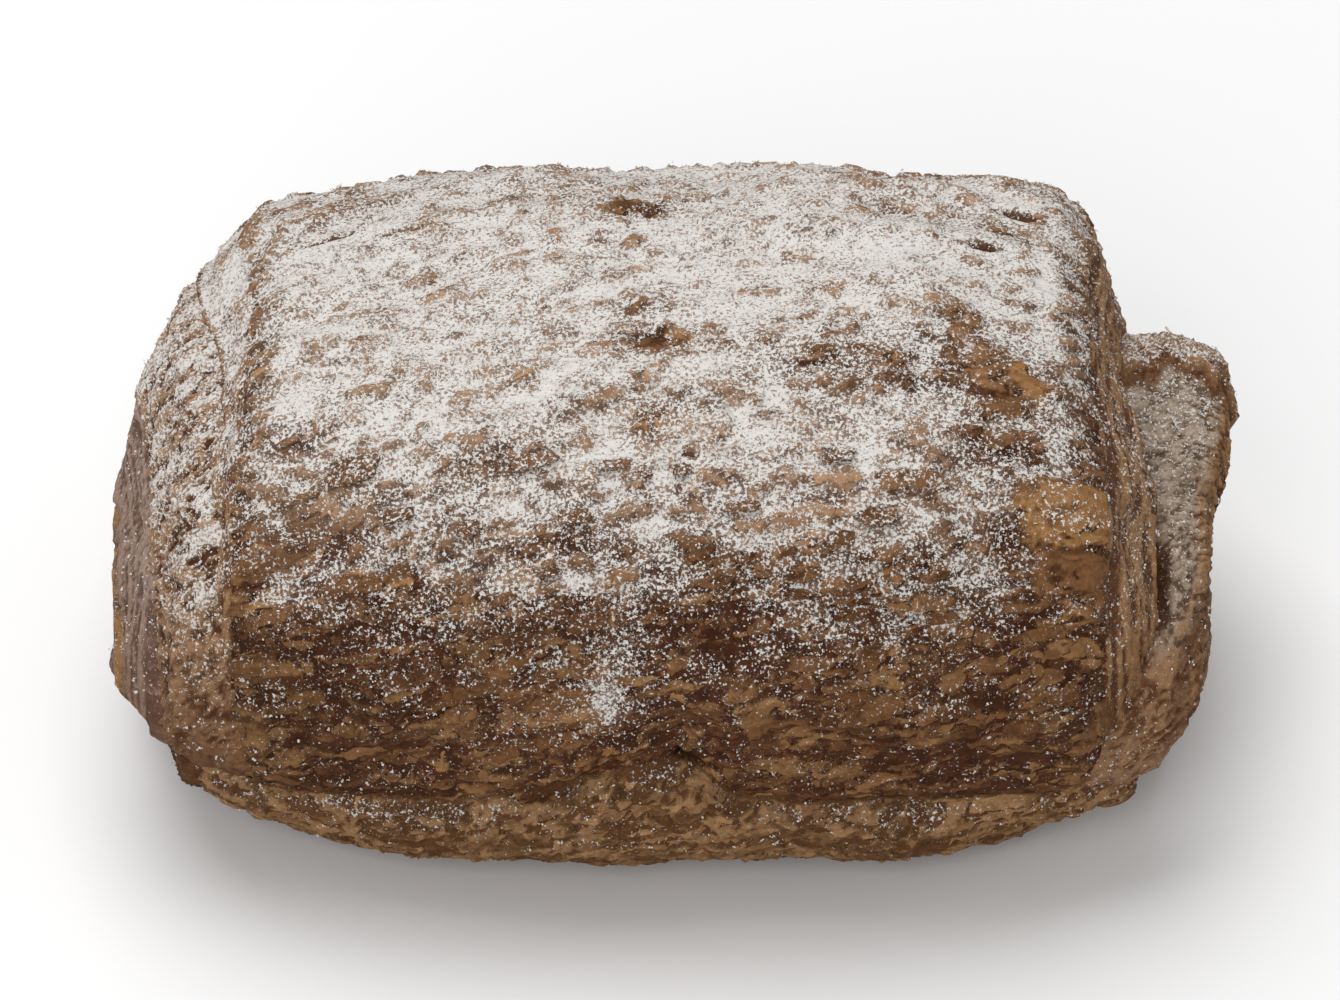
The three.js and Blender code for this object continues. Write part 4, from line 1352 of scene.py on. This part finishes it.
share = wire.kept("sugar")
gaps = (wire.noise(GAPS.cells, GAPS.detail, GAPS.roughness) - share * GAPS.sugar).soft(*GAPS.cut)
film = (share + mottle * FILM.mottle).soft(*FILM.cut) * FILM.most
no_sugar = (SPECKS.none_below - share).soft(0.0, SPECKS.none_below)
cut = SPECKS.cut + (SPECKS.even_share - share) * SPECKS.by_share + no_sugar * SPECKS.none
over_cut = wire.noise(SPECKS.cells, SPECKS.detail, SPECKS.roughness) - cut
specks = (over_cut + mottle * SPECKS.mottle).soft(*SPECKS.edge)
filmed = (film * (1.0 - gaps * GAPS.film)).mix(base, FILM_GREY)
colour = (specks * (1.0 - gaps * GAPS.specks)).mix(filmed, SUGAR_WHITE)
height = lifted + over_cut.soft(*SPECKS.edge) * SPECKS.height
height = height + crisp * (BUMP.crisp + crumbly * BUMP.crumbly)
bump = {"Strength": BUMP.strength, "Distance": BUMP.distance, "Height": height}
surface(wire, {"Base Color": colour, "Roughness": ROUGH.dough + specks * ROUGH.sugar,
               "Normal": wire.node("ShaderNodeBump", {}, bump), "Specular IOR Level": DOUGH_SHINE})
print("nodes with the dust:", len(dough_finish.node_tree.nodes))

# %% [markdown]
# ## The meshes of the turns
#
# Each turn becomes one mesh: its grid of points, closed round the roll and at the two ends, with the six
# grids kept on it and a flat map of the grid for painting. The map cuts the barrel open along the crease
# and lays it out as a square. The four turns together stand for the solid pastry.

# %% Making a piece
MAP_MARGIN = 0.02


def add_piece(name, points, triangles, finish, kept=None, flat=None):
    """A mesh object from points in mm and triangles, with grids kept at its points and a flat map."""
    mesh = bpy.data.meshes.new(name)
    mesh.from_pydata(points * MM, [], triangles)
    for key, values in (kept or {}).items():
        if values.ndim == 1:
            kind, field = "FLOAT", "value"
        else:
            kind, field = "FLOAT_COLOR", "color"
            values = np.concatenate([values, np.ones((len(values), 1))], axis=1)
        mesh.attributes.new(key, kind, "POINT").data.foreach_set(field, values.astype(np.float32).ravel())
    if flat is not None:
        mesh.uv_layers.new(name="OFBake").data.foreach_set("uv", flat.astype(np.float32).ravel())
    mesh.shade_smooth()
    mesh.materials.append(finish)
    piece = bpy.data.objects.new(name, mesh)
    bpy.context.scene.collection.objects.link(piece)
    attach(piece, "root")
    print(name, len(triangles), "triangles")
    return piece


def three(a, b, c):
    """Three grids of corners as a list of triangles."""
    return np.stack([a, b, c], axis=-1).reshape(-1, 3)


def barrel(columns, rows):
    """Triangles of a closed barrel with a pole at each end, and the map position of every corner."""
    last = rows - 1
    j, i = np.meshgrid(np.arange(columns), np.arange(last), indexing="ij")
    after = (j + 1) % columns
    a, b, c, d = j * rows + i, after * rows + i, after * rows + i + 1, j * rows + i + 1
    ring = np.arange(columns)
    beyond = (ring + 1) % columns
    left_pole, right_pole = columns * rows + 0 * ring, columns * rows + 1 + 0 * ring
    triangles = np.concatenate([three(a, b, d), three(b, c, d), three(left_pole, beyond * rows, ring * rows),
                                three(ring * rows + last, beyond * rows + last, right_pole)])
    step = [three(j, j + 1, j), three(j + 1, j + 1, j), three(ring + 0.5, ring + 1, ring),
            three(ring, ring + 1, ring + 0.5)]
    row = [three(i, i, i + 1), three(i, i + 1, i + 1)]
    up = [MAP_MARGIN + (1.0 - 2.0 * MAP_MARGIN) * part / last for part in row]
    low, high = 0.0 * ring + MAP_MARGIN, 0.0 * ring + 1.0 - MAP_MARGIN
    up = up + [three(0.0 * ring, low, low), three(high, high, 0.0 * ring + 1.0)]
    return triangles, np.stack([np.concatenate(step) / columns, np.concatenate(up)], axis=-1)


def with_poles(values):
    """A grid as one list, followed by the mean of its first row and of its last."""
    flat = values.reshape(-1, *values.shape[2:])
    return np.concatenate([flat, values[:, 0].mean(axis=0)[None], values[:, -1].mean(axis=0)[None]])


print("triangles of a barrel of 4 columns and 3 rows:", len(barrel(4, 3)[0]))

# %% [markdown]
# ## Building the turns
#
# With those tools every turn is one call. All four ride on the part's only body and take the place of
# the solid, which is hidden.

# %% Build the four turns
TURN_NAMES = ["outer_turn", "second_turn", "third_turn", "inner_turn"]
KEPT = ("low", "high", "edge", "sugar", "flaky", "unrolled")
for name, turn in zip(TURN_NAMES, turns):
    triangles, flat = barrel(*turn.w.shape)
    kept = {key: with_poles(getattr(turn, key)) for key in KEPT}
    piece = add_piece(name, with_poles(turn.points), triangles, dough_finish, kept, flat)
    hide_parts("pastry")

# %% [markdown]
# ## Loose flakes
#
# Small slips of crust have come away on the front and at the ends. A flake is a disc of rings and spokes
# with a wavy rim, laid on the form of the outer turn with one side lifted. A second sheet closes it
# underneath and reaches down into the crust, so that no flake hangs in the air.

# %% The shape of a flake
RINGS, SPOKES = 6, 30
FLAKE_SHEET = SimpleNamespace(thick=0.14, root=0.5, rise=0.12, tilt=(-0.6, 1.2))
FLAKE_RIM = SimpleNamespace(waves=11, first=2, height=0.26, least=0.4, boxy=0.6, full_turn=6.3)
FLAKE_SLANT = SimpleNamespace(middle=0.1, swing=0.2)
NUDGE = SimpleNamespace(w=0.5, x=0.3)


def outer_form(w, x):
    """Points of the outer turn's form, without its relief."""
    return place(w, x, 1.0 - rim_loss(x - edge_x(0, 0, w)) - rim_loss(edge_x(0, 1, w) - x)) + move


def form_normals(w, x):
    """Outward normals of the outer turn's form, from small steps to each side."""
    around = outer_form(w + NUDGE.w, x) - outer_form(w - NUDGE.w, x)
    normal = np.cross(around, outer_form(w, x + NUDGE.x) - outer_form(w, x - NUDGE.x))
    return normal / np.linalg.norm(normal, axis=-1, keepdims=True)


def flake(at_w, at_x, half_long, half_tall, lift, draw):
    """Points of one flake: rings out to a wavy rim, the top sheet first and then the one below."""
    angle = np.linspace(0.0, 2.0 * np.pi, SPOKES, endpoint=False)[None, :]
    cos, sin = np.cos(angle), np.sin(angle)
    waves = 0.0
    for count in range(FLAKE_RIM.first, FLAKE_RIM.first + FLAKE_RIM.waves):
        swing = draw.normal(0.0, FLAKE_RIM.height / count)
        waves = waves + swing * np.sin(count * angle + draw.uniform(0, FLAKE_RIM.full_turn))
    box = np.maximum(np.abs(cos), np.abs(sin)) ** FLAKE_RIM.boxy
    ring = (np.arange(RINGS) + 1.0)[:, None] / RINGS * np.maximum(1.0 + waves, FLAKE_RIM.least) / box
    long = half_long * ring * cos
    lean = FLAKE_SLANT.middle + FLAKE_SLANT.swing * at_x / ROLL.half_length
    tall = half_tall * ring * sin - lean * long
    w, x = at_w + tall / MM_PER_DEGREE, at_x + long
    on_form, out = outer_form(w, x), form_normals(w, x)
    rise = FLAKE_SHEET.rise + lift * np.clip(tall / half_tall, *FLAKE_SHEET.tilt)
    top = on_form + out * (rise + FLAKE_SHEET.thick)[..., None]
    under = on_form - out * FLAKE_SHEET.root
    middles = [top[0].mean(axis=0), under[0].mean(axis=0)]
    return np.concatenate([top.reshape(-1, 3), under.reshape(-1, 3), middles])


def flake_triangles():
    """Triangles of one flake: the top sheet, the sheet below turned over, and the rim between them."""
    r, s = np.meshgrid(np.arange(RINGS - 1), np.arange(SPOKES), indexing="ij")
    a, b = r * SPOKES + s, r * SPOKES + (s + 1) % SPOKES
    c, d = a + SPOKES, b + SPOKES
    sheet = np.concatenate([three(a, c, b), three(b, c, d)])
    spoke = np.arange(SPOKES)
    after = (spoke + 1) % SPOKES
    below = RINGS * SPOKES
    fan = three(0 * spoke + 2 * below, spoke, after)
    fan_under = three(0 * spoke + 2 * below + 1, after + below, spoke + below)
    rim, next_rim = below - SPOKES + spoke, below - SPOKES + after
    wall = np.concatenate([three(rim, rim + below, next_rim), three(next_rim, rim + below, next_rim + below)])
    return np.concatenate([sheet, sheet[:, ::-1] + below, fan, fan_under, wall])


print("triangles of a flake:", len(flake_triangles()))

# %% [markdown]
# ## Laying the flakes
#
# Two flakes are placed where the photo shows them at the cut edges, and thirty more fall at random on the
# front. They wear the same finish as the crust, with grids of their own: a tone for each flake, and less
# sugar low down and near the right end.

# %% Flakes laid on the crust
# Each placed flake: where it appears, half length, half height, lift of one side in mm, and tone 0 to 1.
PLACED_FLAKES = [
    (1103, 715, 0.9, 1.9, 0.2, 0.75),
    (238, 738, 1.0, 3.0, 0.3, 0.6),
]
RANDOM_FLAKES = SimpleNamespace(count=30, w=(300.0, 342.0), x=(-41.0, 41.0), half_long=(0.9, 2.4),
                                slim=(0.3, 0.6), lift=(0.02, 0.2), tone=(0.2, 0.8))
FLAKE_DUST = SimpleNamespace(heights=(15.0, 35.0, 48.0), shares=(0.03, 0.2, 0.5), right=(24.0, 30.0),
                             right_loss=0.7)
FLAKE_EDGE, FLAKE_FLAKY = 0.2, 0.6

draw = np.random.default_rng(23)
flake_points, flake_tones = [], []
for across, down, half_long, half_tall, lift, flake_tone in PLACED_FLAKES:
    flake_points.append(flake(*spot(across, down), half_long, half_tall, lift, draw))
    flake_tones.append(flake_tone)
for i in range(RANDOM_FLAKES.count):
    at_w, at_x = draw.uniform(*RANDOM_FLAKES.w), draw.uniform(*RANDOM_FLAKES.x)
    half_long = draw.uniform(*RANDOM_FLAKES.half_long)
    half_tall = half_long * draw.uniform(*RANDOM_FLAKES.slim)
    lift = draw.uniform(*RANDOM_FLAKES.lift)
    flake_points.append(flake(at_w, at_x, half_long, half_tall, lift, draw))
    flake_tones.append(draw.uniform(*RANDOM_FLAKES.tone))

each = len(flake_points[0])
triangles = np.concatenate([flake_triangles() + i * each for i in range(len(flake_points))])
flake_points = np.concatenate(flake_points)
flake_tone = np.repeat(flake_tones, each)
flake_dust = np.interp(flake_points[:, 2], FLAKE_DUST.heights, FLAKE_DUST.shares)
flake_dust = flake_dust * (1.0 - FLAKE_DUST.right_loss * soft_step(*FLAKE_DUST.right, flake_points[:, 0]))
flake_kept = {
    "low": blend(DARK, BROWN, flake_tone),
    "high": graded(flake_tone, DARK, BROWN, TAN, early=(0.0, 0.5), late=(0.4, 1.0)),
    "edge": np.full(flake_tone.shape, FLAKE_EDGE),
    "sugar": flake_dust,
    "flaky": np.full(flake_tone.shape, FLAKE_FLAKY),
    "unrolled": flake_points,
}
flakes = add_piece("loose_flakes", flake_points, triangles, dough_finish, flake_kept)

# %% [markdown]
# ## Where the grains lie
#
# Single grains and small clumps of sugar lie on the crust, most of them one to three tenths of a
# millimetre across. Blender could scatter them with a particle system, but a joined mesh is exported as
# it is. A point of the grids is chosen for each clump by the area around it and by its share of sugar, so
# the grains thin out down the front as the dust does.

# %% Clumps of grains on the outer three turns
CLUMPS, MOST_IN_CLUMP = 9500, 4
SETTLE = SimpleNamespace(up=(-0.6, 0.2), wide=2.0, base=0.25, clumped=1.5, clump_step=(-0.2, 0.6),
                         least=0.05, full=1.05, thick_loss=0.8)


def grain_weights(turn):
    """How likely a grain is at each point: the area around it, times a hump over the shares of sugar."""
    around = (np.roll(turn.points, -1, axis=0) - np.roll(turn.points, 1, axis=0)) / 2.0
    area = np.linalg.norm(np.cross(around, np.gradient(turn.points, axis=1)), axis=-1)
    falls = soft_step(*SETTLE.up, turn.normals[..., 2])
    shown = ~turn.sunk * (np.linalg.norm(around, axis=-1) < SETTLE.wide)
    clumped = soft_step(*SETTLE.clump_step, grain(level(turn.w, turn.x), whole_part(turn.x)))
    weight = area * falls * shown * (SETTLE.base + SETTLE.clumped * clumped)
    return weight * (turn.sugar + SETTLE.least) * (SETTLE.full - SETTLE.thick_loss * turn.sugar)


draw = np.random.default_rng(31)
weights = np.concatenate([grain_weights(turn).ravel() for turn in turns[:3]])
chosen = draw.choice(len(weights), CLUMPS, p=weights / weights.sum())
in_clump = draw.integers(1, MOST_IN_CLUMP + 1, CLUMPS)
chosen = np.repeat(chosen, in_clump)
grains = len(chosen)
print("grains:", grains)

# %% [markdown]
# ## Crystals of sugar
#
# Each grain is a small crystal with eight sides: six corners on three crossed arms of uneven length, the
# arms turned at random. All crystals go into one mesh, partly sunk into the crust where they lie.

# %% Grains on the crust
EIGHT_SIDES = np.array([[0, 2, 4], [2, 1, 4], [1, 3, 4], [3, 0, 4],
                        [2, 0, 5], [1, 2, 5], [3, 1, 5], [0, 3, 5]])
CORNERS = 6
GRAIN = SimpleNamespace(half_size=(0.05, 0.15), by_clump=(0.7, 1.3), arms=(0.7, 1.3), out=0.5,
                        clump_off=0.25, grain_off=0.13, above_table=0.02)
SUGAR = SimpleNamespace(roughness=0.85, shine=0.3)

points = np.concatenate([turn.points.reshape(-1, 3) for turn in turns[:3]])[chosen]
normals = np.concatenate([turn.normals.reshape(-1, 3) for turn in turns[:3]])[chosen]
half_size = draw.uniform(*GRAIN.half_size, grains)
half_size = half_size * np.repeat(draw.uniform(*GRAIN.by_clump, CLUMPS), in_clump)
sideways = np.repeat(draw.normal(0.0, GRAIN.clump_off, (CLUMPS, 3)), in_clump, axis=0)
sideways = sideways + draw.normal(0.0, GRAIN.grain_off, (grains, 3))
sideways = sideways - np.sum(sideways * normals, axis=1, keepdims=True) * normals
middles = points + sideways + GRAIN.out * half_size[:, None] * normals
turned = np.linalg.qr(draw.normal(size=(grains, 3, 3)))[0]
turned = turned * np.sign(np.linalg.det(turned))[:, None, None]
arms = turned * (half_size[:, None] * draw.uniform(*GRAIN.arms, (grains, 3)))[:, :, None]
corners = np.stack([arms, -arms], axis=2).reshape(grains, CORNERS, 3)
grain_points = (middles[:, None, :] + corners).reshape(-1, 3)
grain_points[:, 2] = np.maximum(grain_points[:, 2], GRAIN.above_table)
grain_triangles = (EIGHT_SIDES[None] + CORNERS * np.arange(grains)[:, None, None]).reshape(-1, 3)

sugar_finish, wire = new_finish("icing_sugar")
surface(wire, {"Base Color": SUGAR_WHITE, "Roughness": SUGAR.roughness, "Specular IOR Level": SUGAR.shine})
add_piece("sugar_grains", grain_points, grain_triangles, sugar_finish)
